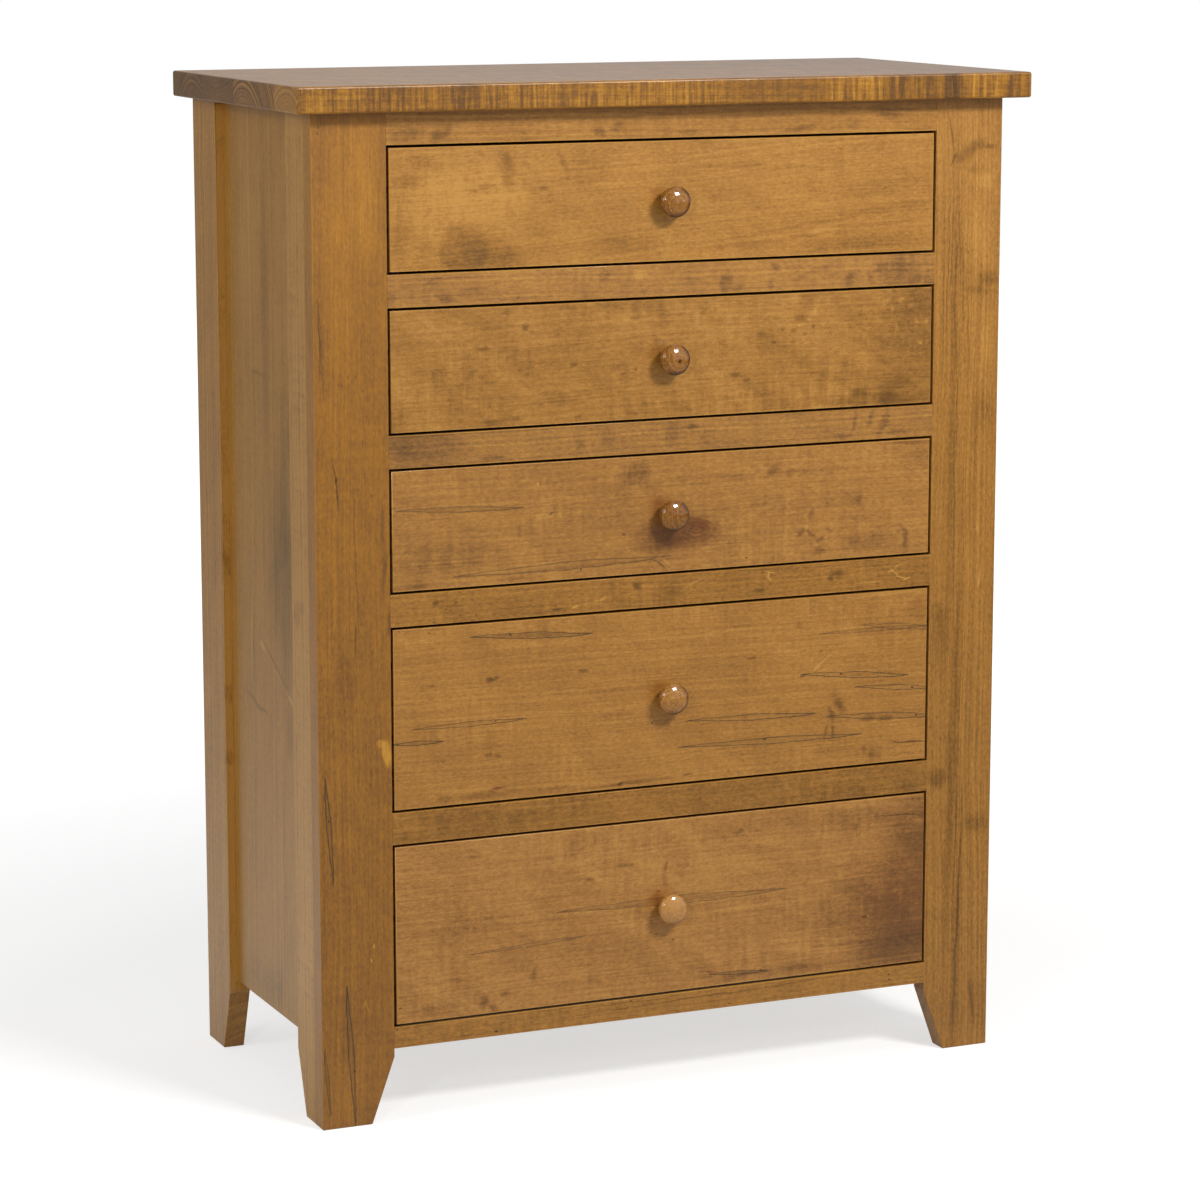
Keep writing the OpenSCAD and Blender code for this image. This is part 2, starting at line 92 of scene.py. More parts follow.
def calc(tree, operation, *values, clamp=False):
    """One Math node: the operation on its values."""
    return add(tree, "Math", *values, operation=operation, use_clamp=clamp)


def blend(tree, share, first, second):
    """Goes from one colour to another as the share goes from 0 to 1."""
    return add(tree, "Mix", share, first, second, data_type="RGBA")


white, warm_white = (1, 1, 1, 1), (1, 0.93, 0.78, 1)
room_level = 0.3
surround = bpy.data.worlds.new("white_surround")
surround.use_nodes = True
scene.world = surround
tree = surround.node_tree
tree.nodes.clear()
rays = add(tree, "LightPath").node.outputs
reflected = calc(tree, "MAXIMUM", rays["Is Glossy Ray"], rays["Is Transmission Ray"])
toward_x = add(tree, "SeparateXYZ", add(tree, "TexCoord").node.outputs["Generated"])
walls = calc(tree, "MULTIPLY", reflected, add(tree, "MapRange", toward_x, -0.4, 0.4, 0.27, 0.66))
room = calc(tree, "MULTIPLY", calc(tree, "SUBTRACT", 1, reflected), room_level)
strength = calc(tree, "MAXIMUM", calc(tree, "MAXIMUM", rays["Is Camera Ray"], walls), room)
warm = calc(tree, "MULTIPLY", reflected, add(tree, "MapRange", toward_x, 0.4, -0.4))
light = add(tree, "Background", blend(tree, warm, white, warm_white), strength)
tree.links.new(light, tree.nodes.new("ShaderNodeOutputWorld").inputs["Surface"])

floor_half, floor_z = 9, -0.0002
floor_mesh = bpy.data.meshes.new("floor")
corners = np.array([[-1, -1], [1, -1], [1, 1], [-1, 1]]) * floor_half
floor_mesh.from_pydata(np.column_stack([corners, np.full(4, floor_z)]), [], [[0, 1, 2, 3]])
floor = bpy.data.objects.new("floor", floor_mesh)
scene.collection.objects.link(floor)
white_floor = bpy.data.materials.new("white_floor")
white_floor.use_nodes = True
tree = white_floor.node_tree
tree.nodes.clear()
place = add(tree, "TexCoord").node.outputs["Object"]
away = add(tree, "VectorMath", place, operation="LENGTH").node.outputs["Value"]
behind = add(tree, "MapRange", add(tree, "SeparateXYZ", place).node.outputs["Y"], -1.0, 0.5)
rays = add(tree, "LightPath").node.outputs
reflected = calc(tree, "MAXIMUM", rays["Is Glossy Ray"], rays["Is Transmission Ray"])
dimmed = calc(tree, "MULTIPLY", reflected, calc(tree, "SUBTRACT", 1, behind))
paint = add(tree, "BsdfDiffuse", blend(tree, dimmed, (0.6, 0.6, 0.6, 1), (0.3, 0.3, 0.3, 1)))
fading = add(tree, "MapRange", away, 1.0, 4.2, 0.5, 0.12)
mirrored = calc(tree, "MULTIPLY", calc(tree, "MULTIPLY", reflected, behind), fading)
seen = calc(tree, "MULTIPLY", rays["Is Camera Ray"], add(tree, "MapRange", away, 0.8, 2.6, 0.62, 0.95))
warm = calc(tree, "MULTIPLY", calc(tree, "SUBTRACT", 1, rays["Is Camera Ray"]), behind)
glow = add(tree, "Emission", blend(tree, warm, white, warm_white), calc(tree, "ADD", seen, mirrored))
surface = tree.nodes.new("ShaderNodeOutputMaterial").inputs["Surface"]
tree.links.new(add(tree, "AddShader", paint, glow), surface)
floor_mesh.materials.append(white_floor)


# The front stiles: two maple boards that run from the floor to the top, each tapered at the foot.
# Their edges are softened with sandpaper, and the rails are tenoned into them. Like the rest of
# the outside they are stained a golden brown and sprayed with a satin lacquer.
def eased_copy(node, name, material, arris, width=0.0012, body="carcass"):
    """A copy of a board of the frame, joints and all, with softened edges. Its loose triangles are
    merged and its flat faces joined. arris gives, from the middle of each edge, the share from 0
    to 1 of the width, and that is the radius of the quarter round along it."""
    shape = bmesh.new()
    shape.from_mesh(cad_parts[node].data)
    bmesh.ops.remove_doubles(shape, verts=shape.verts, dist=1e-6)
    bmesh.ops.dissolve_limit(shape, angle_limit=radians(0.5), verts=shape.verts, edges=shape.edges)
    mesh = bpy.data.meshes.new(name)
    shape.to_mesh(mesh)
    shape.free()
    corner = np.empty(len(mesh.vertices) * 3, np.float32)
    mesh.vertices.foreach_get("co", corner)
    ends = np.empty(len(mesh.edges) * 2, np.int32)
    mesh.edges.foreach_get("vertices", ends)
    middle = corner.reshape(-1, 3)[ends.reshape(-1, 2)].mean(1)
    share = np.broadcast_to(arris(*middle.T), len(middle)).astype(np.float32)
    mesh.attributes.new("bevel_weight_edge", "FLOAT", "EDGE").data.foreach_set("value", share)
    mesh.polygons.foreach_set("use_smooth", np.ones(len(mesh.polygons), bool))
    mesh.set_sharp_from_angle(angle=radians(25))
    mesh.materials.append(material)
    board = bpy.data.objects.new(name, mesh)
    scene.collection.objects.link(board)
    rounding = board.modifiers.new("softened_edges", "BEVEL")
    rounding.limit_method = "WEIGHT"
    rounding.width = width
    rounding.segments = 3
    rounding.use_clamp_overlap = False
    rounding.harden_normals = True
    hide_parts(node)
    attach(board, body)


def at(place, value):
    """1 where a coordinate is at a value, to a hundredth of a millimetre, and 0 elsewhere."""
    return np.abs(place - value) < 1e-5


def node_group(name, inputs, outputs):
    """An empty shader group with its sockets, and the sockets to wire inside it."""
    tree = bpy.data.node_groups.new(name, "ShaderNodeTree")
    for label, kind, value in inputs:
        socket = tree.interface.new_socket(name=label, in_out="INPUT", socket_type="NodeSocket" + kind)
        socket.default_value = value
    for label, kind in outputs:
        tree.interface.new_socket(name=label, in_out="OUTPUT", socket_type="NodeSocket" + kind)
    return tree, tree.nodes.new("NodeGroupInput").outputs, tree.nodes.new("NodeGroupOutput").inputs


def fill(tree, node, **values):
    """Fills a node's inputs, named with _ for a space, from values or other nodes' outputs."""
    for name, value in values.items():
        socket = node.inputs[name.replace("_", " ")]
        if isinstance(value, bpy.types.NodeSocket):
            tree.links.new(value, socket)
        else:
            socket.default_value = value


def place_group(tree, group, **values):
    """Places a group in a tree and fills its inputs. Gives its outputs."""
    node = tree.nodes.new("ShaderNodeGroup")
    node.node_tree = group
    fill(tree, node, **values)
    return node.outputs


def noise(tree, vector, stretch, detail=2.0, roughness=0.5, distortion=0.0):
    """Smooth noise from 0 to 1 with so many waves a metre along each axis."""
    scaled = add(tree, "VectorMath", vector, stretch, operation="MULTIPLY")
    return add(tree, "TexNoise", scaled, 1.0, detail, roughness, 2.0, distortion)


def step_up(tree, value, low, high, to_low=0.0, to_high=1.0):
    """Rises smoothly from one value to another while its input goes from low to high."""
    return add(tree, "MapRange", value, low, high, to_low, to_high, interpolation_type="SMOOTHSTEP")


def radius_of(tree, x, y):
    """The distance from the origin: the root of the sum of the squares of two coordinates."""
    return calc(tree, "SQRT", calc(tree, "MULTIPLY_ADD", x, x, calc(tree, "MULTIPLY", y, y)))


# Maple as it is cut from the log. Vector's X runs along the grain and Y across the board. The
# year rings follow the distance from the heart of the log, a leaning line beside the board. Curl
# is bands across the grain, in patches or, with Curl Spread, all over.
usual_curl_count = 112
tree, given, made = node_group(
    "maple_figure",
    [("Vector", "Vector", (0, 0, 0)), ("Seed", "Float", 0), ("Heart", "Vector", (0, 0, 0.08)),
     ("Lean", "Float", 0.03), ("Ring Width", "Float", 0.005), ("Curl Spread", "Float", 0),
     ("Curl Count", "Float", usual_curl_count)],
    [(name, "Float") for name in ("Rings", "Fibre", "Flecks", "Curl", "Cloud", "Eyes")])
shift = add(tree, "CombineXYZ", calc(tree, "MULTIPLY", given["Seed"], 7.31),
            calc(tree, "MULTIPLY", given["Seed"], 3.17), calc(tree, "MULTIPLY", given["Seed"], 5.73))
spot = add(tree, "VectorMath", given["Vector"], shift, operation="ADD")
wander = noise(tree, spot, (1.6, 5, 5), 2).node.outputs["Color"]
wander = add(tree, "VectorMath", wander, (0.5, 0.5, 0.5), operation="SUBTRACT")
from_heart = add(tree, "VectorMath", given["Vector"], given["Heart"], operation="SUBTRACT")
from_heart = add(tree, "VectorMath", wander, (0, 0.04, 0.04), from_heart, operation="MULTIPLY_ADD")
x, y, z = add(tree, "SeparateXYZ", from_heart).node.outputs
y = calc(tree, "MULTIPLY_ADD", x, given["Lean"], y)
z = calc(tree, "MULTIPLY_ADD", x, given["Lean"], z)
year = calc(tree, "DIVIDE", radius_of(tree, y, z), given["Ring Width"])
bands = add(tree, "TexNoise", year, 1.0, 3.0, 0.75, noise_dimensions="1D")
late = calc(tree, "FRACT", calc(tree, "MULTIPLY_ADD", bands, 1.5, year))
late = calc(tree, "MULTIPLY", calc(tree, "POWER", late, 3.5), step_up(tree, late, 1.0, 0.94))
tree.links.new(calc(tree, "MULTIPLY_ADD", late, 0.35, calc(tree, "SUBTRACT", bands, 0.5)), made["Rings"])
tree.links.new(noise(tree, spot, (12, 430, 430), 3, 0.7), made["Fibre"])
tree.links.new(noise(tree, spot, (150, 290, 290), 3, 0.85), made["Flecks"])
patch = step_up(tree, noise(tree, spot, (6, 9, 9), 2), 0.45, 0.7, 0.25)
patch = calc(tree, "MAXIMUM", patch, given["Curl Spread"])
waves = noise(tree, spot, add(tree, "CombineXYZ", given["Curl Count"], 14, 14), 2.5, 0.6, 0.3)
waves = calc(tree, "SUBTRACT", waves, 0.5)
tree.links.new(calc(tree, "MULTIPLY", waves, patch), made["Curl"])
turned = add(tree, "VectorRotate", spot, (0, 0, 0), (0, 0, 1), radians(34), rotation_type="AXIS_ANGLE")
tree.links.new(noise(tree, turned, (8, 22, 14), 4, 0.6, 0.6), made["Cloud"])
cells = add(tree, "VectorMath", spot, (85, 120, 120), operation="MULTIPLY")
dot = step_up(tree, add(tree, "TexVoronoi", cells, 1.0), 0.26, 0.1)
rare = step_up(tree, noise(tree, spot, (9, 11, 11), 1.5), 0.6, 0.7)
tree.links.new(calc(tree, "MULTIPLY", dot, rare), made["Eyes"])
maple_figure = tree

# Stain and lacquer on that maple. Tone is how dark the stain has taken: 0 is palest, 0.5 the
# usual colour and 1 darkest. Mark adds the places that a board has of its own, Mineral turns them
# olive and Red turns them to the red of a knot.
usual_light, usual_middle = (0.53, 0.265, 0.05, 1), (0.385, 0.17, 0.026, 1)
tree, given, made = node_group(
    "stained_maple",
    [(name, "Float", value) for name, value in (
        ("Rings", 0), ("Fibre", 0.5), ("Flecks", 0.5), ("Curl", 0), ("Cloud", 0.5), ("Eyes", 0), ("Mark", 0),
        ("Mineral", 0), ("Red", 0), ("Base Tone", 0.42), ("Ring Depth", 0.8), ("Curl Depth", 0.8),
        ("Cloud Depth", 0.6), ("Fibre Depth", 0.6), ("Fleck Depth", 1.4), ("Eye Depth", 0.3))]
    + [("Light", "Color", usual_light), ("Middle", "Color", usual_middle),
       ("Dark", "Color", (0.205, 0.088, 0.01, 1))],
    [("Color", "Color"), ("Roughness", "Float"), ("Height", "Float")])
tone = calc(tree, "MULTIPLY_ADD", given["Rings"], given["Ring Depth"], given["Base Tone"])
for part, depth, middle in (
        ("Curl", "Curl Depth", 0), ("Cloud", "Cloud Depth", 0.5), ("Eyes", "Eye Depth", 0),
        ("Fibre", "Fibre Depth", 0.5), ("Flecks", "Fleck Depth", 0.5)):
    tone = calc(tree, "MULTIPLY_ADD", calc(tree, "SUBTRACT", given[part], middle), given[depth], tone)
tone = calc(tree, "MULTIPLY_ADD", given["Mark"], 1.3, tone)
stain = blend(tree, calc(tree, "MULTIPLY", tone, 2, clamp=True), given["Light"], given["Middle"])
stain = blend(tree, calc(tree, "MULTIPLY_ADD", tone, 2, -1, clamp=True), stain, given["Dark"])
for share, deep_colour in (
        (calc(tree, "MULTIPLY_ADD", tone, 1.2, -1.2, clamp=True), (0.045, 0.02, 0.003, 1)),
        (calc(tree, "MULTIPLY", given["Mineral"], 1, clamp=True), (0.06, 0.034, 0.012, 1)),
        (calc(tree, "MULTIPLY", given["Red"], 1, clamp=True), (0.2, 0.05, 0.012, 1))):
    stain = blend(tree, share, stain, deep_colour)
tree.links.new(stain, made["Color"])
tree.links.new(calc(tree, "MULTIPLY_ADD", given["Fibre"], 0.14, 0.3), made["Roughness"])
height = calc(tree, "MULTIPLY_ADD", given["Flecks"], 0.4, given["Fibre"])
tree.links.new(calc(tree, "MULTIPLY_ADD", given["Curl"], 1.2, height), made["Height"])
stained_maple = tree

# A soft patch, a spot, or a pin hole: 1 within the unit circle of its Vector and 0 outside, with
# a rim that is softer the smaller Edge is. Its depth is added to the sum that comes in as Z.
tree, given, made = node_group(
    "stain_patch", [("Vector", "Vector", (0, 0, 0)), ("Depth", "Float", 0), ("Edge", "Float", 0.2)],
    [("Sum", "Float")])
x, y, total = add(tree, "SeparateXYZ", given["Vector"]).node.outputs
shade = step_up(tree, radius_of(tree, x, y), 1.25, given["Edge"])
tree.links.new(calc(tree, "MULTIPLY_ADD", shade, given["Depth"], total), made["Sum"])
stain_patch = tree

# A mineral streak: a long lens with thin dark outlines that close to a point at both ends. Fill
# darkens its inside, and Line is the outline's width as a share of the lens's.
tree, given, made = node_group(
    "mineral_streak", [("Vector", "Vector", (0, 0, 0)), ("Depth", "Float", 0), ("Fill", "Float", 0.3),
                       ("Line", "Float", 0.3)], [("Sum", "Float")])
x, y, total = add(tree, "SeparateXYZ", given["Vector"]).node.outputs
along = calc(tree, "ABSOLUTE", x)
lens = calc(tree, "SUBTRACT", 1, calc(tree, "POWER", along, 1.7))
wobble = calc(tree, "SUBTRACT", noise(tree, given["Vector"], (2.3, 0.1, 0), 3, 0.6), 0.5)
past_rim = calc(tree, "SUBTRACT", calc(tree, "ABSOLUTE", calc(tree, "MULTIPLY_ADD", wobble, 1.5, y)), lens)
line = step_up(tree, calc(tree, "DIVIDE", calc(tree, "ABSOLUTE", past_rim), given["Line"]), 1, 0.3)
inside = calc(tree, "MULTIPLY", step_up(tree, past_rim, 0.1, -0.2), given["Fill"])
streak_breaks_and_rim_shade = step_up(tree, noise(tree, given["Vector"], (4, 1.5, 0), 3, 0.6), 0.25, 0.6, 0.5, 1)
mask = calc(tree, "MULTIPLY", calc(tree, "MAXIMUM", line, inside), calc(tree, "LESS_THAN", along, 1))
shade = calc(tree, "MULTIPLY", mask, streak_breaks_and_rim_shade)
tree.links.new(calc(tree, "MULTIPLY_ADD", shade, given["Depth"], total), made["Sum"])
mineral_streak = tree

# The grain round a knot: rings that lie closer and darker towards its middle.
tree, given, made = node_group(
    "knot_rings", [("Vector", "Vector", (0, 0, 0)), ("Depth", "Float", 0), ("Rings", "Float", 5)],
    [("Sum", "Float")])
x, y, total = add(tree, "SeparateXYZ", given["Vector"]).node.outputs
out = radius_of(tree, x, y)
bent = calc(tree, "SUBTRACT", noise(tree, given["Vector"], (1.5, 1.5, 0), 3, 0.6), 0.5)
turns = calc(tree, "MULTIPLY", given["Rings"], 6.283)
turns = calc(tree, "MULTIPLY", calc(tree, "MULTIPLY_ADD", bent, 0.5, out), turns)
wave = calc(tree, "MULTIPLY_ADD", calc(tree, "COSINE", turns), 0.5, 0.35)
shade = calc(tree, "MULTIPLY", wave, step_up(tree, out, 1.0, 0.25))
tree.links.new(calc(tree, "MULTIPLY_ADD", shade, given["Depth"], total), made["Sum"])
knot_rings = tree


def pushed_about(tree, grain):
    """The place on the board moved by a few millimetres of noise, so that the rims of the marks
    that are laid on it come out ragged."""
    place = grain
    for stretch, reach in (((24, 50, 1), (0.014, 0.008, 0)), ((150, 240, 1), (0.004, 0.0025, 0))):
        push = noise(tree, grain, stretch).node.outputs["Color"]
        push = add(tree, "VectorMath", push, (0.5, 0.5, 0.5), operation="SUBTRACT")
        place = add(tree, "VectorMath", push, reach, place, operation="MULTIPLY_ADD")
    return place


def marked(tree, grain, group, rows, total=0.0):
    """Adds a board's own marks. Each row gives, in millimetres, the mark's middle along and across
    the grain and half its length and width, then its depth, below 0 for a lighter place, the
    group's own values and a turn in degrees. What a row leaves out at its end stays as the group
    has it, and unturned. The sum so far goes from mark to mark as the vector's Z, so that the
    renderer needs little memory for it."""
    x, y, _ = add(tree, "SeparateXYZ", grain).node.outputs
    names = {mineral_streak: ("Fill", "Line"), stain_patch: ("Edge",), knot_rings: ("Rings",)}[group]
    for along, across, half_length, half_width, depth, *rest in rows:
        own = dict(zip((*names, "turn"), rest))
        turn = radians(own.pop("turn", 0))
        laid = add(tree, "Mapping", add(tree, "CombineXYZ", x, y, total), (along / 1000, across / 1000, 0),
                   (0, 0, turn), (half_length / 1000, half_width / 1000, 1), vector_type="TEXTURE")
        total = place_group(tree, group, Vector=laid, Depth=depth, **own)["Sum"]
    return total


def finished_maple(name, along, seed, heart=(0, 0, 0.08), lean=0.03, ring=0.005, patches=(), streaks=(),
                   reds=(), knots=(), curls=(), by_place=None, **depths):
    """Stained and lacquered maple for one board. along names the object's axes in the order: along
    the grain, across the face, through the thickness. heart is where the middle of the log is.
    by_place gives the values that change over the board, from its coordinates."""
    material = bpy.data.materials.new(name)
    material.use_nodes = True
    tree = material.node_tree
    place = add(tree, "TexCoord").node.outputs["Object"]
    axes = dict(zip("xyz", add(tree, "SeparateXYZ", place).node.outputs))
    grain = add(tree, "CombineXYZ", *[axes[letter] for letter in along])
    loose = pushed_about(tree, grain)
    cut = dict(Seed=seed, Heart=heart, Lean=lean, Ring_Width=ring, Curl_Count=usual_curl_count,
               Curl_Spread=marked(tree, loose, stain_patch, curls))
    for label, value in (by_place(tree, axes) if by_place else {}).items():
        (cut if label in cut else depths)[label] = value
    figure = place_group(tree, maple_figure, Vector=grain, **cut)
    mark = marked(tree, grain, knot_rings, knots, marked(tree, loose, stain_patch, patches))
    mineral = marked(tree, grain, mineral_streak, streaks)
    red = marked(tree, loose, stain_patch, reds)
    look = place_group(
        tree, stained_maple, **{s.name: s for s in figure}, Mark=mark, Mineral=mineral, Red=red, **depths)
    bump = add(tree, "Bump", 0.25, 0.0004)
    fill(tree, bump.node, Height=look["Height"])
    fill(tree, tree.nodes["Principled BSDF"], Base_Color=look["Color"], Roughness=look["Roughness"],
         Normal=bump, Coat_Weight=0.15, Coat_Roughness=0.12)
    return material


(case_left, front_y, _), (stile_inner, stile_back_y, _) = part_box("front_stile_left")
stile_marks = {
    "left": dict(
        patches=[
            (960, -455, 42, 1.2, 0.4), (800, -437, 36, 1.2, 0.5, 0.3, -6.7), (803, -437, 4, 1.6, 0.5, 0.5),
            (700, -412, 120, 1.3, 0.2, 0.2, -1.5), (610, -413, 22, 1.4, 0.35, 0.3),
            (388, -451, 1.9, 1.0, 0.9, 0.6), (69, -421, 1.9, 1.2, 0.9, 0.6), (560, -425, 60, 16, 0.12, 0.1),
            (690, -375, 40, 4, 0.25, 0.2, 2), (745, -378, 30, 3, 0.2, 0.2, 2), (625, -371, 16, 3, 0.3, 0.3),
            (1180, -400, 90, 26, -0.18, 0.1, 2), (1060, -430, 180, 22, -0.1, 0.1),
            (1112, -391, 62, 13, -0.12, 0.5, 3), (466, -376, 15, 6, -0.5, 0.75),
            (478, -382, 5, 5, -0.4, 0.6), (455, -372, 10, 5, -0.3, 0.6, 20),
            (208, -397, 2.5, 1.2, -0.9, 0.6), (226, -394, 3, 1, -0.6, 0.6, 10),
            (155, -406, 8, 1.2, -0.35, 0.4, 30), (150, -402, 9, 1.2, -0.25, 0.4, -20),
            (40, -425, 45, 22, -0.12, 0.1)],
        streaks=[
            (375, -450, 66, 2.6, 0.94, 0.25, 0.5, -4), (90, -425, 90, 3.2, 0.94, 0.28, 0.4, -3.2),
            (60, -456, 42, 1.8, 0.88, 0.25, 0.5, -5), (960, -453, 60, 1.6, 0.5, 0.25, 0.5, -3)],
        Ring_Depth=0.4, Fleck_Depth=1.0, Light=(0.53, 0.265, 0.03, 1), Middle=(0.385, 0.162, 0.014, 1),
        Dark=(0.21, 0.086, 0.014, 1)),
    "right": dict(
        patches=[
            (850, 397, 330, 6, 0.16, 0.2, 0.4), (420, 406, 300, 7, 0.26, 0.2, 1.4),
            (120, 415, 160, 7, 0.22, 0.2, 1), (1010, 386, 170, 15, 0.04),
            (1030, 388, 125, 1.5, 0.3, 0.1, 0.8), (1045, 393, 100, 1.3, 0.27, 0.1, 1.5),
            (1010, 399, 110, 1.5, 0.3, 0.1, -0.6), (1060, 404, 90, 1.3, 0.27, 0.1, -1.5),
            (990, 410, 100, 1.5, 0.3, 0.1, -2.4), (960, 417, 80, 1.3, 0.24, 0.1, -4),
            (1000, 382, 130, 1.4, 0.24, 0.1), (860, 404, 100, 1.4, 0.21, 0.1, -1),
            (1170, 414, 24, 10, 0.3, 0.1, 60), (1180, 432, 10, 14, 0.25, 0.1, -20),
            (1176, 446, 4, 10, 0.3, 0.3, 15), (1163, 395, 12, 2, 0.4, 0.2, 30),
            (1150, 430, 8, 26, 0.22, 0.1), (1195, 390, 30, 2, 0.35, 0.1, -14),
            (1010, 445, 12, 20, 0.25, 0.1, 4), (995, 430, 6, 24, 0.2, 0.1, 8),
            (840, 440, 30, 20, 0.16, 0.1), (700, 402, 150, 1.6, 0.3, 0.1, -0.6),
            (560, 385, 60, 14, 0.2, 0.1), (365, 384, 16, 16, 0.3), (300, 440, 14, 22, 0.25, 0.2, 6),
            (200, 417, 220, 2.2, 0.35, 0.1, 1.5), (300, 411, 170, 1.6, 0.35, 0.1, 1),
            (60, 440, 40, 3, 0.3, 0.2, -6), (55, 450, 50, 14, 0.15, 0.1, -8),
            (625, 441, 16, 2, -0.4, 0.2, 8), (690, 436, 12, 2, -0.35, 0.2, -10),
            (1140, 440, 20, 14, -0.2, 0.1), (930, 445, 30, 12, -0.15, 0.1), (1070, 432, 70, 20, -0.14, 0.1)],
        Ring_Depth=0.7)}
for side, sign, seed, tones in (("left", -1, 1.3, (0.66, 0.77)), ("right", 1, 2.1, (0.44, 0.58))):
    def painted_shade_at_foot(tree, axes):
        """The stile's tone: darker towards the foot, a painted shade for the light that falls off towards the
        floor, and lighter on the outer face.
        """
        outer = step_up(tree, calc(tree, "ABSOLUTE", axes["x"]), 0.4612, 0.4624)
        # Painted shade: the tone darkens from the top of the stile down to its foot.
        lower = step_up(tree, axes["z"], 1.25, 0.45, *tones)
        return {"Base_Tone": calc(tree, "MULTIPLY_ADD", outer, -0.22, lower)}

    stile_maple = finished_maple(
        f"{side}_stile_maple", "zxy", seed, (0, sign * 0.2, -0.15), 0.012 * sign, 0.007,
        by_place=painted_shade_at_foot, Cloud_Depth=0.4, Curl_Depth=0.4, **stile_marks[side])
    eased_copy(
        f"front_stile_{side}", f"{side}_stile", stile_maple,
        lambda x, y, z: at(y, front_y) * np.where(at(np.abs(x), -stile_inner), 0.2, 1.0)
        + at(z, 0) * ~at(y, front_y) * 0.8 + at(y, stile_back_y) * at(np.abs(x), -case_left) * 0.15)

# The side boards of the front legs: glued behind the stiles, so that each front leg is an L seen
# from above. They taper towards the front at the foot, and hold the side panels in a groove.
for side, sign, seed in (("left", -1, 3.2), ("right", 1, 4.6)):
    leg_maple = finished_maple(
        f"{side}_front_leg_maple", "zyx", seed, (0, -0.35, sign * 0.41), 0.01, 0.006,
        patches=[
            (865, -150, 30, 14, 0.2), (640, -150, 12, 25, 0.2, 0.2, 10), (625, -140, 8, 20, 0.2, 0.3, -10),
            (1195, -170, 20, 6, 0.15), (330, -186, 4, 1.5, 0.8, 0.4), (90, -190, 4, 1.5, 0.6, 0.4)],
        curls=[(840, -150, 140, 26, 0.8, 0.4)], Base_Tone=0.06, Ring_Depth=1.4, Curl_Depth=1.0)
    eased_copy(
        f"front_leg_{side}", f"{side}_front_leg", leg_maple,
        lambda x, y, z: at(np.abs(x), -case_left) * np.where(at(y, stile_back_y), 0.15, 0.9) + at(z, 0) * 0.3)

# The rear legs: one board each, tapered towards the back at the foot, with a groove for the side
# panel and a rebate for the plywood back.
rear_leg_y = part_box("rear_leg_left")[0].y


def lighter_forward_face(tree, axes):
    """The rear leg's tone: lighter on its forward face and the arris beside it, darker on its other faces."""
    return {"Base_Tone": step_up(tree, axes["y"], rear_leg_y + 0.0012, rear_leg_y, 0.34, -0.1)}


for side, sign, seed in (("left", -1, 5.4), ("right", 1, 6.8)):
    leg_maple = finished_maple(
        f"{side}_rear_leg_maple", "zyx", seed, (0, 0.45, sign * 0.42), 0.01, 0.007,
        patches=[(480, 147, 14, 3, 0.3), (395, 147, 10, 3, 0.3), (660, 147, 60, 3, 0.15)],
        by_place=lighter_forward_face, Ring_Depth=1.1, Curl_Depth=0.4)
    eased_copy(
        f"rear_leg_{side}", f"{side}_rear_leg", leg_maple,
        lambda x, y, z: at(np.abs(x), -case_left) * 1.0 + at(z, 0) * ~at(np.abs(x), -case_left) * 0.4)

# The side panels: solid maple, tongued all the way up into the grooves of the legs and set back
# from their faces. The lower edge is softened.
panel_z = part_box("side_panel_left")[0].z
for side, sign, seed in (("left", -1, 7.9), ("right", 1, 8.3)):
    panel_maple = finished_maple(
        f"{side}_side_panel_maple", "zyx", seed, (0, -0.4, sign * 0.41), 0.015, 0.009,
        patches=[
            (640, -66, 130, 42, 0.24, 0.4), (775, -68, 130, 34, 0.2, 0.1, 3),
            (860, -88, 70, 12, 0.15, 0.2, 3), (690, -30, 130, 26, 0.16, 0.2, -4),
            (850, -66, 60, 6, 0.12, 0.2, 2), (536, -33, 64, 2.6, -0.3, 0.2, 63),
            (512, -84, 16, 3.5, -0.35, 0.3, 70), (562, 22, 14, 6, -0.3, 0.3, 60),
            (548, -22, 60, 4, 0.22, 0.2, 63), (480, 30, 34, 4, 0.3, 0.2, 84),
            (488, 62, 30, 4, 0.22, 0.2, 76), (905, 30, 3, 35, 0.2, 0.3, -3), (560, 57, 70, 3, 0.3, 0.2, -3),
            (560, 66, 60, 3, -0.25, 0.2, -2), (330, 62, 200, 3, 0.22, 0.1, -1),
            (300, -48, 170, 2.5, 0.3, 0.1, -1.5), (140, -30, 60, 4, 0.3, 0.1, -3),
            (470, -74, 40, 16, 0.18, 0.1), (1000, -4, 230, 14, 0.14), (700, 10, 90, 5, 0.14, 0.1),
            (130, 20, 30, 90, 0.16, 0.1), (1060, 60, 150, 34, -0.12), (1100, -70, 120, 20, -0.08, 0.1)],
        reds=[(980, -4, 260, 13, 0.14), (536, -33, 60, 3.5, 0.25, 0.3, 63)],
        Cloud_Depth=0.4, Curl_Depth=0.3, Ring_Depth=0.7, Fleck_Depth=1.0, Fibre_Depth=0.5,
        Middle=(0.385, 0.172, 0.02, 1), Dark=(0.195, 0.094, 0.005, 1))
    eased_copy(
        f"side_panel_{side}", f"{side}_side_panel", panel_maple, lambda x, y, z: at(z, panel_z) * 0.6)


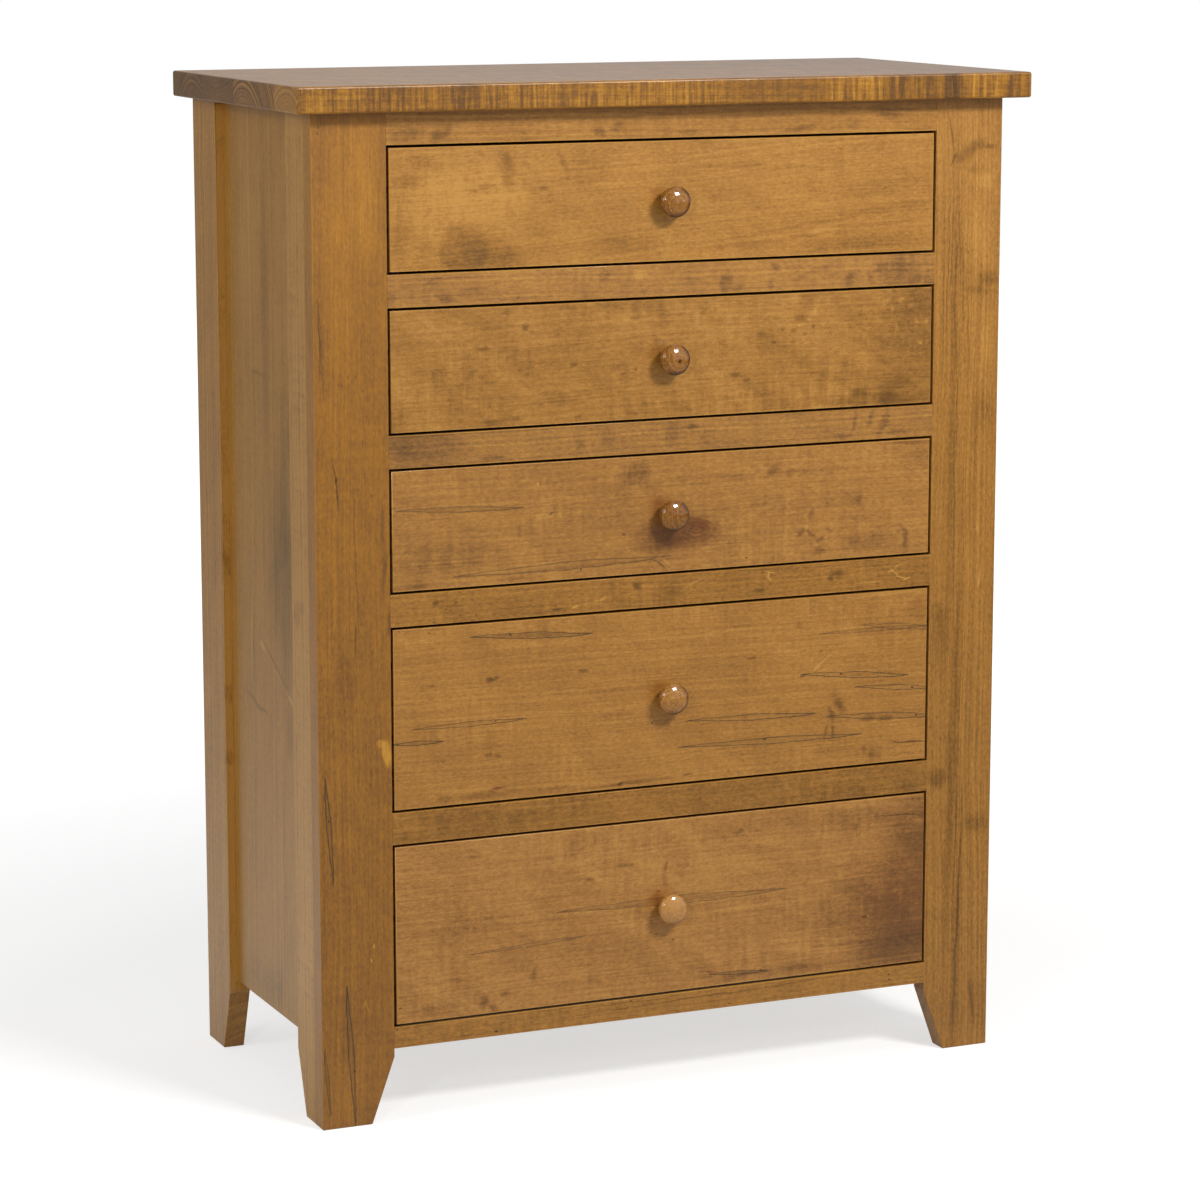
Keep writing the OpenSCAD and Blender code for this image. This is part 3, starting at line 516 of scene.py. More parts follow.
# The front rails: a top rail, four rails between the drawers and a thinner bottom rail, all
# flush with the stiles and tenoned into them.
def worn_and_lit_arrises_shaded_gaps(low, high, tone):
    """A board's tone, lighter along the arrises round its face, where the stain is rubbed thin and as a
    painted highlight where light catches them, and darker on the narrow faces behind them, a painted shade
    that makes the gaps round the drawers dark."""
    def by_place(tree, axes):
        ways = [calc(tree, "SUBTRACT", axes["x"], low.x), calc(tree, "SUBTRACT", high.x, axes["x"]),
                calc(tree, "SUBTRACT", axes["z"], low.z), calc(tree, "SUBTRACT", high.z, axes["z"])]
        near = calc(tree, "MINIMUM", calc(tree, "MINIMUM", *ways[:2]), calc(tree, "MINIMUM", *ways[2:]))
        # Painted shade: the narrow faces behind the front face, in the gaps, are darkened.
        inside = step_up(tree, axes["y"], low.y + 0.0014, low.y + 0.003, 0, 1.1)
        # Painted highlight with wear: the tone is lighter within 1.4 mm of the arrises.
        return {"Base_Tone": calc(tree, "ADD", inside, step_up(tree, near, 0.0014, 0.0004, tone, tone - 0.5))}
    return by_place


rails = ["front_rail_top"] + [f"drawer_divider_{n}" for n in (1, 2, 3, 4)] + ["front_rail_bottom"]
rail_marks = [
    dict(
        patches=[
            (-342, 1212, 22, 12, 0.3, 0.1), (-302, 1207, 14, 9, 0.35, 0.2, 20), (-290, 1215, 6, 8, 0.25),
            (-95, 1207, 14, 8, 0.3, 0.1, -25), (-70, 1214, 10, 7, 0.25), (30, 1205, 20, 6, 0.2),
            (300, 1222, 30, 12, 0.3, 0.1), (250, 1212, 14, 10, 0.15, 0.1), (180, 1206, 30, 4, 0.2, 0.1, 8)],
        curls=[(-60, 1210, 180, 26, 0.7)]),
    dict(
        patches=[
            (78, 1018, 9, 16, 0.3, 0.5, -14), (92, 1012, 12, 8, 0.2), (315, 1022, 32, 20, 0.3, 0.3),
            (290, 1030, 12, 10, 0.25), (250, 1018, 9, 10, 0.35), (278, 1017, 4, 12, 0.3, 0.2, 8),
            (-295, 1015, 14, 8, 0.3), (-310, 1036, 12, 6, 0.2), (-40, 1034, 10, 6, -0.3),
            (-85, 1034, 8, 8, 0.2, 0.2, 10), (-260, 1022, 16, 8, 0.15), (138, 1014, 5, 8, 0.25),
            (145, 1035, 6, 9, 0.25, 0.2, 20), (345, 1012, 18, 8, 0.2), (200, 1028, 40, 5, 0.15, 0.1, 16)],
        Middle=(0.38, 0.172, 0.035, 1), Dark=(0.205, 0.09, 0.02, 1)),
    dict(
        patches=[
            (-320, 835, 55, 26, 0.2, 0.3), (-350, 840, 26, 22, 0.15), (33, 842, 9, 4, 0.4, 0.3),
            (257, 836, 4, 16, 0.26, 0.3, -14), (280, 838, 4, 15, 0.3, 0.3, -18),
            (298, 832, 7, 20, 0.3, 0.3, -22), (-122, 832, 7, 18, 0.18), (3, 834, 9, 18, 0.16, 0.5, -20),
            (-230, 817, 20, 4, 0.25), (-85, 835, 12, 14, 0.12), (240, 818, 20, 5, 0.2),
            (320, 820, 18, 6, 0.2)],
        curls=[(60, 832, 200, 22, 0.6)],
        Middle=(0.385, 0.176, 0.036, 1), Dark=(0.205, 0.092, 0.021, 1)),
    dict(
        patches=[
            (-45, 648, 7, 6, 0.5), (-310, 645, 5, 4, 0.4, 0.3), (235, 644, 14, 7, 0.4, 0.1),
            (225, 638, 5, 4, 0.35, 0.3), (126, 629, 9, 3, 0.35), (-150, 626, 10, 2, 0.4, 0.3),
            (0, 636, 24, 16, 0.16, 0.1), (138, 649, 6, 1, -0.8, 0.4, 55), (143, 652, 6, 1, -0.7, 0.4, -10),
            (137, 644, 4, 1, -0.7, 0.4, -50), (318, 640, 9, 1.1, -0.8, 0.4, -42),
            (313, 642, 6, 1, -0.6, 0.4, 15), (328, 632, 8, 1.1, -0.9, 0.4, -20),
            (334, 630, 6, 1.2, -0.7, 0.4, 20), (323, 648, 10, 0.8, -0.4, 0.3, 25),
            (-125, 627, 6, 1.6, -0.6, 0.3, 20), (-100, 633, 30, 0.8, -0.35, 0.2, 12),
            (-62, 638, 26, 0.7, -0.3, 0.2, 3), (35, 645, 22, 0.8, -0.3, 0.2, 20),
            (25, 634, 20, 0.8, -0.25, 0.2, 24), (290, 630, 30, 0.7, -0.3, 0.2, 4)]),
    dict(
        patches=[(-345, 358, 26, 8, 0.12, 0.1), (-200, 370, 40, 9, 0.1, 0.1), (340, 357, 24, 6, 0.15, 0.1)],
        curls=[(-60, 372, 140, 20, 0.5)],
        Cloud_Depth=0.6),
    dict(
        patches=[
            (-365, 117, 1.0, 1.0, 2.5, 0.7), (-233, 98, 1.9, 1.0, 1.6, 0.6), (-50, 116, 1.1, 1.0, 2.2, 0.7),
            (87, 98, 1.4, 1.0, 1.8, 0.7), (316, 110, 1.6, 0.9, 2.2, 0.7), (316, 103, 1.6, 0.8, 2.2, 0.7),
            (10, 110, 170, 0.8, 0.5, 0.2, 1.5), (-60, 115, 100, 0.7, 0.4, 0.2, 0.5),
            (180, 115, 60, 0.8, 0.3, 0.2, 1)],
        Cloud_Depth=0.5)]
rail_tones = (0.42, 0.44, 0.53, 0.64, 0.72, 0.57)
rail_ring_depths = (0.8, 0.8, 0.8, 0.6, 0.4, 0.5)
for count, node in enumerate(rails):
    low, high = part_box(node)
    heart = (0, (low.z + high.z) / 2 - 0.14, -0.15)
    rail_maple = finished_maple(
        f"rail_{count}_maple", "xzy", 11.7 + count * 1.9, heart, 0.03 - 0.02 * (count % 3), 0.007,
        by_place=worn_and_lit_arrises_shaded_gaps(low, high, rail_tones[count]), Ring_Depth=rail_ring_depths[count],
        **rail_marks[count])
    eased_copy(
        node, node.replace("front_rail_", "rail_at_").replace("drawer_divider_", "rail_"), rail_maple,
        lambda x, y, z: at(y, front_y) * np.where(at(np.abs(x), -stile_inner), 0.15, 0.5))


# The top: boards glued edge to edge into one thick slab, which overhangs the front and the sides.
# All its edges are rounded over a little. It is screwed down from the kickers below.
def rounded_board(name, low, high, radius, steps=6):
    """A box with round edges and corners. Going round by one angle and over by the other, each
    point is the nearest corner of a box smaller by the radius on every side, plus the radius times
    the unit direction of the two angles; the flat faces lie between those corners."""
    low, high = np.array(low), np.array(high)
    turn = np.concatenate([np.linspace(q, q + 1, steps + 1) for q in range(4)]) * np.pi / 2
    rise = np.concatenate([np.linspace(-1, 0, steps + 1), np.linspace(0, 1, steps + 1)]) * np.pi / 2
    round_way, over_way = np.meshgrid(turn, rise)
    direction = np.stack([np.cos(over_way) * np.cos(round_way), np.cos(over_way) * np.sin(round_way),
                          np.sin(over_way)], -1)
    quarter = np.repeat(np.arange(4), steps + 1)
    corner = np.stack(np.broadcast_arrays(
        np.where((quarter == 0) | (quarter == 3), high[0] - radius, low[0] + radius),
        np.where(quarter < 2, high[1] - radius, low[1] + radius),
        np.where(np.arange(2 * steps + 2) > steps, high[2] - radius, low[2] + radius)[:, None]), -1)
    point = (corner + radius * direction).reshape(-1, 3)
    rows, columns = round_way.shape
    index = np.arange(rows * columns).reshape(rows, columns)
    beside = np.roll(index, -1, 1)
    walls = np.stack([index[:-1], beside[:-1], beside[1:], index[1:]], -1).reshape(-1, 4)
    mesh = bpy.data.meshes.new(name)
    mesh.from_pydata(point, [], walls.tolist() + [index[0, ::-1].tolist(), index[-1].tolist()])
    shape = bmesh.new()
    shape.from_mesh(mesh)
    bmesh.ops.remove_doubles(shape, verts=shape.verts, dist=1e-6)
    bmesh.ops.recalc_face_normals(shape, faces=shape.faces)
    shape.to_mesh(mesh)
    shape.free()
    mesh.polygons.foreach_set("use_smooth", np.ones(len(mesh.polygons), bool))
    board = bpy.data.objects.new(name, mesh)
    scene.collection.objects.link(board)
    return board


top = rounded_board("top_slab", *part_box("top_board"), 0.003)
top.modifiers.new("flat_faces", "WEIGHTED_NORMAL").keep_sharp = True


def boards_of_the_top(tree, axes):
    """The top's values by place. Past its joint each glued board has a seed, a heart, a depth of
    stain in its sawn end and a ring depth of its own. The front edge is darker too."""
    boards = ((-0.155, 24.9, -0.05, 1.2, 0.68, -3.2), (-0.005, 28.3, 0.06, 1.5, 0.72, -1),
              (0.115, 33.1, 0.15, 1.19, 0.86, -2))
    values = (21.4, -0.2, 1.2, 0.18, -1.7)
    for joint, *board in boards:
        past = calc(tree, "GREATER_THAN", axes["y"], joint)
        values = [add(tree, "Mix", past, before, after) for before, after in zip(values, board)]
    seed, heart_y, heart_z, dark_end, ring_depth = values
    end = step_up(tree, calc(tree, "ABSOLUTE", axes["x"]), 0.4862, 0.4878)
    front = step_up(tree, axes["y"], -0.2345, -0.2362)
    from_calm = calc(tree, "ABSOLUTE", calc(tree, "SUBTRACT", axes["x"], 0.125))
    front_curl = step_up(tree, from_calm, 0.05, 0.09, 0.8, 2.4)
    tone = add(tree, "Mix", front, add(tree, "MapRange", axes["x"], -0.4, 0.4, 0.52, 0.78), 0.8)
    return {"Seed": seed, "Heart": add(tree, "CombineXYZ", 0, heart_y, heart_z),
            "Base_Tone": calc(tree, "MULTIPLY_ADD", end, dark_end, tone),
            "Ring_Depth": add(tree, "Mix", end, 0.4, ring_depth),
            "Curl_Spread": calc(tree, "SUBTRACT", 1, end),
            "Curl_Depth": add(tree, "Mix", front, 1.1, front_curl),
            "Curl_Count": add(tree, "Mix", front, usual_curl_count, 230),
            "Light": blend(tree, front, usual_light, (0.52, 0.25, 0.03, 1)),
            "Middle": blend(tree, front, usual_middle, (0.36, 0.152, 0.008, 1)),
            "Dark": blend(tree, front, (0.2, 0.084, 0.018, 1), (0.19, 0.075, 0.005, 1))}


top.data.materials.append(finished_maple(
    "top_maple", "xyz", 0, lean=0.01, ring=0.0045, by_place=boards_of_the_top,
    patches=[
        (377, -236, 14, 5, 0.4, 0.5), (-275, -236, 12, 5, 0.15, 0.3), (130, -236, 75, 5, 0.06, 0.4),
        (330, -236, 60, 5, 0.08, 0.3), (-85, -236, 150, 5, -0.14, 0.4), (237, -236, 44, 5, -0.14, 0.5),
        (424, -236, 32, 5, -0.22, 0.4), (-455, -236, 30, 5, -0.12, 0.3)]))
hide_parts("top_board")
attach(top, "carcass")

# The drawer fronts: one solid board each, set in flush with the rails, dovetailed half-blind to
# the drawer sides, with a bore for the knob's tenon. The front edges are softened.
face_marks = {
    1: dict(
        patches=[
            (-262, 1130, 95, 60, -0.26, 0.1), (-215, 1172, 13, 20, 0.34, 0.1, 10),
            (-210, 1152, 9, 10, 0.25), (-165, 1141, 8, 4, 0.35), (-180, 1137, 8, 4, 0.25, 0.2, 10),
            (-244, 1147, 8, 8, 0.32), (-256, 1140, 6, 3, 0.25), (-246, 1185, 10, 5, 0.2, 0.2, -30),
            (-340, 1155, 20, 12, 0.28, 0.1), (-325, 1178, 20, 10, 0.16, 0.1),
            (-270, 1070, 31, 31, 0.22, 0.8, 4), (-238, 1064, 44, 36, 0.14, 0.3),
            (-205, 1062, 40, 14, 0.16, 0.1), (-142, 1170, 5, 24, 0.25, 0.2, 22),
            (-112, 1165, 42, 34, 0.13, 0.1), (200, 1088, 175, 3.5, 0.16, 0.1, 7),
            (240, 1078, 150, 4, 0.14, 0.1, 6), (300, 1105, 80, 5, 0.16, 0.1, 5),
            (270, 1062, 110, 12, 0.2, 0.1, 2), (100, 1064, 70, 5, 0.12, 0.1, 3),
            (120, 1160, 130, 4, 0.12, 0.1, -2), (290, 1130, 80, 16, 0.12, 0.1, 4),
            # The row at 30, 1098 is a painted shadow: the shadow of the knob from the front softbox, below
            # and to its right.
            (212, 1077, 18, 8, -0.2, 0.5), (30, 1098, 16, 4, 0.14, 0.1, 15), (-60, 1070, 60, 14, 0.12, 0.1),
            (-355, 1090, 14, 30, 0.1, 0.1)],
        curls=[(-310, 1110, 60, 70, 1.0, 0.3)]),
    2: dict(
        patches=[
            (-190, 974, 6, 5, 0.4, 0.3), (-181, 969, 4, 3, 0.3, 0.3), (-45, 980, 8, 4, 0.3),
            (-247, 951, 12, 4, 0.28), (-70, 921, 9, 4, 0.3), (-62, 914, 5, 2, 0.3, 0.3),
            (-130, 925, 5, 3, 0.3, 0.3), (-46, 918, 3, 2, 0.3, 0.3), (128, 952, 8, 4, 0.3),
            (88, 905, 8, 5, 0.3), (104, 897, 6, 3, 0.3), (-216, 995, 10, 4, 0.22, 0.1),
            (-100, 996, 60, 5, 0.14, 0.1), (-8, 985, 10, 26, 0.16, 0.1), (-18, 955, 8, 20, 0.15, 0.1, 8),
            (188, 990, 14, 14, 0.25), (180, 971, 13, 8, 0.3), (197, 960, 4, 3, 0.35, 0.3),
            (171, 956, 5, 3, 0.3, 0.3), (186, 951, 4, 3, 0.3, 0.3), (158, 958, 4, 3, 0.25, 0.3),
            (192, 968, 3, 2, -0.4, 0.3), (178, 962, 3, 2, -0.35, 0.3), (201, 978, 3, 4, -0.3, 0.3),
            (144, 942, 5, 3, 0.25), (170, 940, 5, 3, 0.2), (345, 925, 60, 110, 0.22, 0.4),
            (330, 985, 55, 28, 0.1), (300, 870, 50, 24, 0.16, 0.2, 20), (70, 975, 170, 30, -0.08, 0.1, 4),
            (345, 959, 3, 3, -0.35, 0.3), (358, 959, 3, 4, -0.32, 0.3), (352, 931, 4, 3, -0.35, 0.3),
            (362, 932, 3, 4, -0.28, 0.3), (298, 986, 6, 4, -0.24, 0.3), (310, 977, 4, 3, -0.28, 0.3),
            (322, 986, 4, 5, -0.28, 0.3), (334, 978, 4, 4, -0.24, 0.3), (312, 950, 2, 14, -0.25),
            (240, 862, 36, 9, 0.25, 0.1), (262, 873, 14, 7, 0.28), (302, 862, 16, 14, 0.3, 0.2, 10),
            (330, 858, 20, 6, 0.2), (200, 866, 12, 9, 0.2), (-240, 861, 28, 5, 0.28, 0.1),
            (-252, 872, 6, 5, 0.2, 0.1), (-206, 864, 10, 5, 0.2), (-48, 862, 7, 5, 0.25),
            (-121, 861, 8, 4, 0.2), (20, 870, 30, 8, 0.14, 0.1), (-150, 885, 40, 14, 0.1, 0.1)],
        curls=[
            (90, 868, 190, 24, 1.0, 0.4), (-90, 990, 110, 16, 0.7), (240, 890, 60, 40, 0.8, 0.3),
            (60, 960, 120, 60, 0.6)],
        Cloud_Depth=0.95, Curl_Depth=1.0, Light=(0.53, 0.272, 0.06, 1), Middle=(0.385, 0.174, 0.03, 1)),
    3: dict(
        patches=[
            (-12, 706, 40, 22, 0.22, 0.3), (24, 709, 48, 22, 0.32, 0.3), (40, 722, 22, 10, 0.3, 0.2, -12),
            (6, 700, 26, 9, 0.3, 0.2, 10), (-4, 690, 30, 24, 0.12, 0.1), (-45, 786, 26, 18, 0.3),
            (-62, 770, 14, 22, 0.15, 0.1, 8), (-20, 765, 20, 14, 0.15, 0.1),
            (85, 777, 40, 8, 0.16, 0.1, -6), (145, 781, 14, 8, 0.3, 0.2, 35),
            (168, 778, 8, 7, 0.2, 0.2, 20), (330, 687, 4.5, 17, 0.3, 0.5, 12), (334, 672, 5, 12, 0.2, 0.3),
            (270, 680, 34, 14, 0.25, 0.1), (262, 738, 8, 9, 0.25, 0.1), (198, 722, 5, 10, 0.3),
            (185, 700, 10, 4, 0.35, 0.2, 40), (200, 697, 9, 3, 0.35, 0.2, -40),
            (212, 690, 9, 3, 0.35, 0.2, 35), (223, 700, 7, 3, 0.3, 0.2, -30), (208, 676, 10, 8, 0.3),
            (192, 706, 4, 4, -0.3, 0.3), (206, 684, 4, 3, -0.3, 0.3), (218, 693, 3, 3, -0.3, 0.3),
            (-285, 700, 75, 26, 0.18, 0.1), (-340, 668, 24, 8, 0.25, 0.1), (-200, 668, 30, 7, 0.2, 0.1),
            (-12, 673, 15, 1.3, 0.45, 0.3, -38), (-6, 677, 12, 1.6, -0.3, 0.3, -38),
            (-120, 674, 1.2, 1.2, 1.6, 0.7), (-158, 745, 3, 2, 0.5, 0.5), (-60, 714, 3, 2, 0.5, 0.5),
            (-120, 678, 130, 5, 0.12, 0.2, 1), (335, 806, 36, 3, 0.3, 0.2, -2),
            (350, 790, 20, 10, 0.15, 0.1), (-175, 783, 1.4, 2.4, -0.9, 0.6),
            (110, 700, 30, 8, 0.1, 0.1, 12), (140, 735, 50, 5, -0.12, 0.1, 16),
            (60, 690, 30, 3, -0.15, 0.1, 8)],
        streaks=[(-278, 758, 84, 3, 0.62, 0.3, 0.4, -2), (-142, 679, 145, 4.5, 0.62, 0.1, 0.25, 1.2)],
        reds=[
            (15, 708, 66, 28, 0.28, 0.1), (44, 720, 22, 11, 0.3, 0.1, -15), (108, 673, 1.9, 1.3, 0.9, 0.5),
            (-15, 752, 14, 5, 0.3), (-12, 728, 12, 22, 0.3)],
        knots=[(38, 712, 42, 24, 0.32, 5, -6)],
        curls=[(-50, 785, 50, 26, 1.0, 0.3), (-290, 700, 80, 36, 0.9, 0.3), (260, 700, 90, 40, 0.8, 0.3, 20)],
        Light=(0.53, 0.267, 0.058, 1), Middle=(0.38, 0.171, 0.034, 1), Dark=(0.205, 0.088, 0.018, 1)),
    4: dict(
        patches=[
            (-238, 544, 7, 4, 0.5), (-230, 546, 5, 3, 0.35, 0.3, 10), (-115, 545, 8, 3, 0.4),
            (-315, 544, 7, 3, 0.25), (-315, 528, 6, 3, 0.2), (-240, 450, 6, 3, 0.35, 0.3),
            (-229, 449, 5, 4, 0.35, 0.3), (115, 544, 8, 3, 0.4), (-318, 610, 1.9, 1.0, 0.9, 0.5),
            (-212, 598, 1.2, 1.2, 1.4, 0.6), (-231, 493, 1.2, 1.0, 1.4, 0.6),
            (-360, 475, 1.9, 1.2, 1.2, 0.6), (135, 438, 1.5, 1.0, 1.5, 0.7), (243, 514, 1.5, 1.2, 1.5, 0.7),
            (346, 488, 1.5, 1.0, 1.4, 0.7), (351, 451, 1.5, 1.2, 1.5, 0.7), (-26, 472, 1.0, 0.9, 1.2, 0.7),
            (240, 476, 9, 7, 0.4), (245, 468, 7, 8, 0.3, 0.2, 30), (232, 486, 6, 8, 0.2, 0.2, -20),
            (228, 462, 5, 12, 0.35, 0.3, 12), (231, 440, 3, 14, 0.3, 0.2, 8),
            (220, 438, 3, 14, 0.3, 0.2, -12), (250, 424, 3, 10, 0.15), (282, 453, 12, 5, 0.3),
            (307, 450, 12, 4, 0.3), (212, 530, 14, 1.4, -0.3, 0.2, 35), (206, 524, 12, 1.4, -0.3, 0.2, 40),
            (222, 536, 10, 1.2, -0.2, 0.2, 32), (216, 522, 10, 1.2, -0.25, 0.2, 18),
            (188, 516, 5, 1.6, 0.7, 0.4), (182, 581, 5, 7, 0.25, 0.1), (350, 588, 18, 14, 0.16),
            (-250, 401, 52, 6, 0.32, 0.1), (-300, 402, 12, 8, 0.22, 0.1), (-160, 400, 40, 5, 0.2, 0.1),
            (-65, 398, 4, 3, 0.5, 0.4), (290, 404, 16, 10, 0.25, 0.1), (276, 412, 5, 6, 0.25),
            (225, 415, 30, 5, 0.15, 0.1), (343, 416, 28, 1.8, 0.6, 0.2, -2),
            (322, 418, 8, 1, 0.6, 0.3, -20), (30, 403, 9, 1.4, 0.5, 0.3, 4),
            (-60, 399, 95, 2.6, 0.25, 0.2, 3.2), (150, 486, 5, 6, 0.16, 0.1),
            (-200, 570, 60, 10, 0.08, 0.1), (-180, 596, 50, 8, 0.1, 0.1), (-290, 455, 70, 10, 0.08, 0.1, 8),
            (-70, 515, 60, 8, 0.14, 0.1), (-80, 485, 30, 3, 0.1, 0.1), (-250, 515, 40, 4, 0.1, 0.1),
            (300, 612, 70, 3, -0.15, 0.1, 4), (60, 580, 150, 2, -0.1, 0.1, 1),
            (-330, 600, 40, 8, -0.12, 0.1)],
        streaks=[
            (-184, 596, 82, 3.6, 0.94, 0.28, 0.26, -2.9), (-267, 492, 76, 2.8, 0.88, 0.1, 0.26, 0.5),
            (-336, 474, 36, 2.3, 1, 0.25, 0.36, -1), (116, 468, 92, 3.4, 1, 0.12, 0.24, -1.9),
            (144, 435.5, 130, 3.7, 0.94, 0.2, 0.24, -1.2), (262, 511, 78, 3.6, 0.94, 0.15, 0.24, -4.8),
            (290, 567.5, 80, 2.3, 0.62, 0.12, 0.32), (325, 569, 55, 3.5, 0.62, 0.15, 0.24, -6),
            (322, 490, 60, 3.1, 0.88, 0.2, 0.26, -5), (305, 454, 84, 3.9, 0.81, 0.23, 0.26, -4)],
        reds=[
            (-229, 408.5, 11, 2.2, 0.9, 0.3, 2), (-238, 406, 5, 1.4, 0.6, 0.3, -20),
            (88, 547.5, 14, 0.9, 0.6, 0.3, 3), (352, 600, 14, 9, 0.3, 0.1), (310, 573, 30, 2, 0.35, 0.2, 2),
            (-70, 487, 24, 1.6, 0.2, 0.1)],
        Light=(0.53, 0.266, 0.055, 1), Middle=(0.385, 0.171, 0.03, 1), Dark=(0.205, 0.088, 0.013, 1)),
    5: dict(
        patches=[
            (340, 145, 80, 36, 0.3, 0.3, 4), (375, 215, 90, 110, 0.34), (290, 205, 100, 70, 0.3, 0.1, -10),
            (300, 140, 100, 26, 0.12, 0.1), (355, 305, 60, 60, 0.32), (20, 270, 120, 30, -0.12, 0.1),
            (-60, 294, 12, 4, 0.35, 0.1), (-47, 293, 5, 3, 0.2), (-106, 280, 7, 3, 0.4, 0.1),
            (-3, 285, 3, 9, 0.4, 0.2, -8), (-4, 272, 6, 14, 0.2, 0.1, 10), (22, 284, 12, 20, 0.14, 0.1),
            (10, 192, 1.5, 1.2, 0.9, 0.5), (-360, 143, 1.9, 1.3, 0.8, 0.5), (282, 190, 5, 3, 0.35),
            (287, 190, 2, 1.4, -0.4, 0.4), (-250, 138, 7, 12, 0.45, 0.2, -14),
            (-236, 130, 12, 5, 0.4, 0.2, -30), (-222, 145, 8, 5, 0.35, 0.1),
            (-180, 168, 5, 12, 0.25, 0.2, -16), (-310, 135, 40, 10, 0.2, 0.1),
            (-350, 190, 14, 5, 0.12, 0.1), (-120, 145, 40, 12, 0.12, 0.1), (-255, 245, 40, 12, 0.12, 0.1),
            (-290, 228, 60, 14, 0.12, 0.1), (100, 132, 34, 5, 0.3, 0.2, 4), (170, 133, 90, 8, 0.24),
            (240, 150, 60, 3, -0.15, 0.1, -4), (190, 158, 110, 3, -0.14, 0.1, -5),
            (200, 170, 130, 2.5, -0.14, 0.1, -5), (140, 330, 90, 16, 0.14, 0.1),
            (270, 325, 70, 18, 0.2, 0.1), (100, 323, 10, 4, 0.3, 0.1), (-130, 320, 12, 30, 0.14, 0.1),
            (-110, 330, 30, 14, 0.14, 0.1), (-265, 323, 8, 3, 0.25, 0.1), (335, 320, 34, 1.2, 0.6, 0.2, -5),
            (120, 222, 60, 4, -0.14, 0.1, 2), (-60, 216, 50, 3, -0.14, 0.1),
            (240, 250, 70, 3, -0.12, 0.1, 10), (130, 137, 1.2, 1.0, 1.2, 0.6),
            (-12, 255, 1.2, 1.0, 1.0, 0.6), (-300, 170, 70, 3, 0.14, 0.1)],
        streaks=[
            (8, 241.5, 160, 5, 0.7, 0.3, 0.17, -0.5), (-190, 204.5, 78, 2, 0.62, 0.3, 0.4, 2.5),
            (100, 137, 42, 2, 1, 0.3, 0.4, -3)],
        reds=[
            (58, 143, 14, 1.1, 0.9, 0.3, -5), (-90, 208, 20, 1.2, 0.4), (352, 168, 20, 3, 0.2, 0.1, 6),
            (340, 220, 90, 90, 0.16, 0.1), (-16, 250, 12, 12, 0.3, 0.1)],
        curls=[
            (245, 318, 80, 34, 1.2, 0.3), (230, 160, 80, 26, 1.0, 0.3), (-320, 145, 50, 24, 1.0, 0.3),
            (-160, 320, 60, 26, 0.7, 0.3), (335, 250, 34, 60, 0.7, 0.3)],
        Cloud_Depth=0.75, Light=(0.53, 0.267, 0.062, 1), Middle=(0.385, 0.172, 0.036, 1),
        Dark=(0.205, 0.086, 0.017, 1))}
for n, lean, tone in ((1, -0.07, 0.39), (2, -0.03, 0.5), (3, 0.02, 0.48), (4, 0.035, 0.46), (5, 0.02, 0.42)):
    low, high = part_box(f"drawer_{n}_front")
    marks = face_marks[n]
    # Painted reflection: a darker, redder patch up and to the left of each knob stands in for the knob's warm
    # reflection on the lacquered face.
    painted_knob_reflection = (-14, (low.z + high.z) * 500 + 11, 14, 12)
    marks["patches"] = marks["patches"] + [(*painted_knob_reflection, 0.12, 0.1)]
    marks["reds"] = marks.get("reds", []) + [(*painted_knob_reflection, 0.22, 0.1)]
    face_maple = finished_maple(
        f"drawer_{n}_face_maple", "xzy", 30.2 + n * 3.7, (0, low.z - 0.16, -0.15), lean, 0.008,
        by_place=worn_and_lit_arrises_shaded_gaps(low, high, tone), Ring_Depth=0.45, **marks)
    eased_copy(
        f"drawer_{n}_front", f"drawer_{n}_face", face_maple,
        lambda x, y, z: at(y, low.y) * (at(np.abs(x), high.x) | at(z, low.z) | at(z, high.z)),
        0.0011, f"drawer_{n}")


# The knobs: turned maple mushrooms with a waisted stem. A tenon on each is glued into its drawer
# front, and the lacquer on them is thicker and glossier.
def turned(name, radius, reach, place, around=72):
    """A turned shape: the profile's points, at a radius from the axis and a reach along it, swept
    round that axis, which points to -Y. The first and last points lie on the axis."""
    angle = np.arange(around) * 2 * np.pi / around
    ring = np.stack(np.broadcast_arrays(
        radius[1:-1, None] * np.cos(angle), -reach[1:-1, None], radius[1:-1, None] * np.sin(angle)), -1)
    point = np.concatenate([ring.reshape(-1, 3), [[0, -reach[0], 0], [0, -reach[-1], 0]]]) + place
    index = np.arange(len(ring) * around).reshape(-1, around)
    beside = np.roll(index, -1, 1)
    walls = np.stack([index[:-1], index[1:], beside[1:], beside[:-1]], -1).reshape(-1, 4)
    start, tip = len(point) - 2, len(point) - 1
    ends = [np.stack([np.full(around, start), index[0], beside[0]], -1),
            np.stack([np.full(around, tip), beside[-1], index[-1]], -1)]
    mesh = bpy.data.meshes.new(name)
    mesh.from_pydata(point, [], walls.tolist() + ends[0].tolist() + ends[1].tolist())
    mesh.polygons.foreach_set("use_smooth", np.ones(len(mesh.polygons), bool))
    mesh.set_sharp_from_angle(angle=radians(50))
    piece = bpy.data.objects.new(name, mesh)
    scene.collection.objects.link(piece)
    return piece


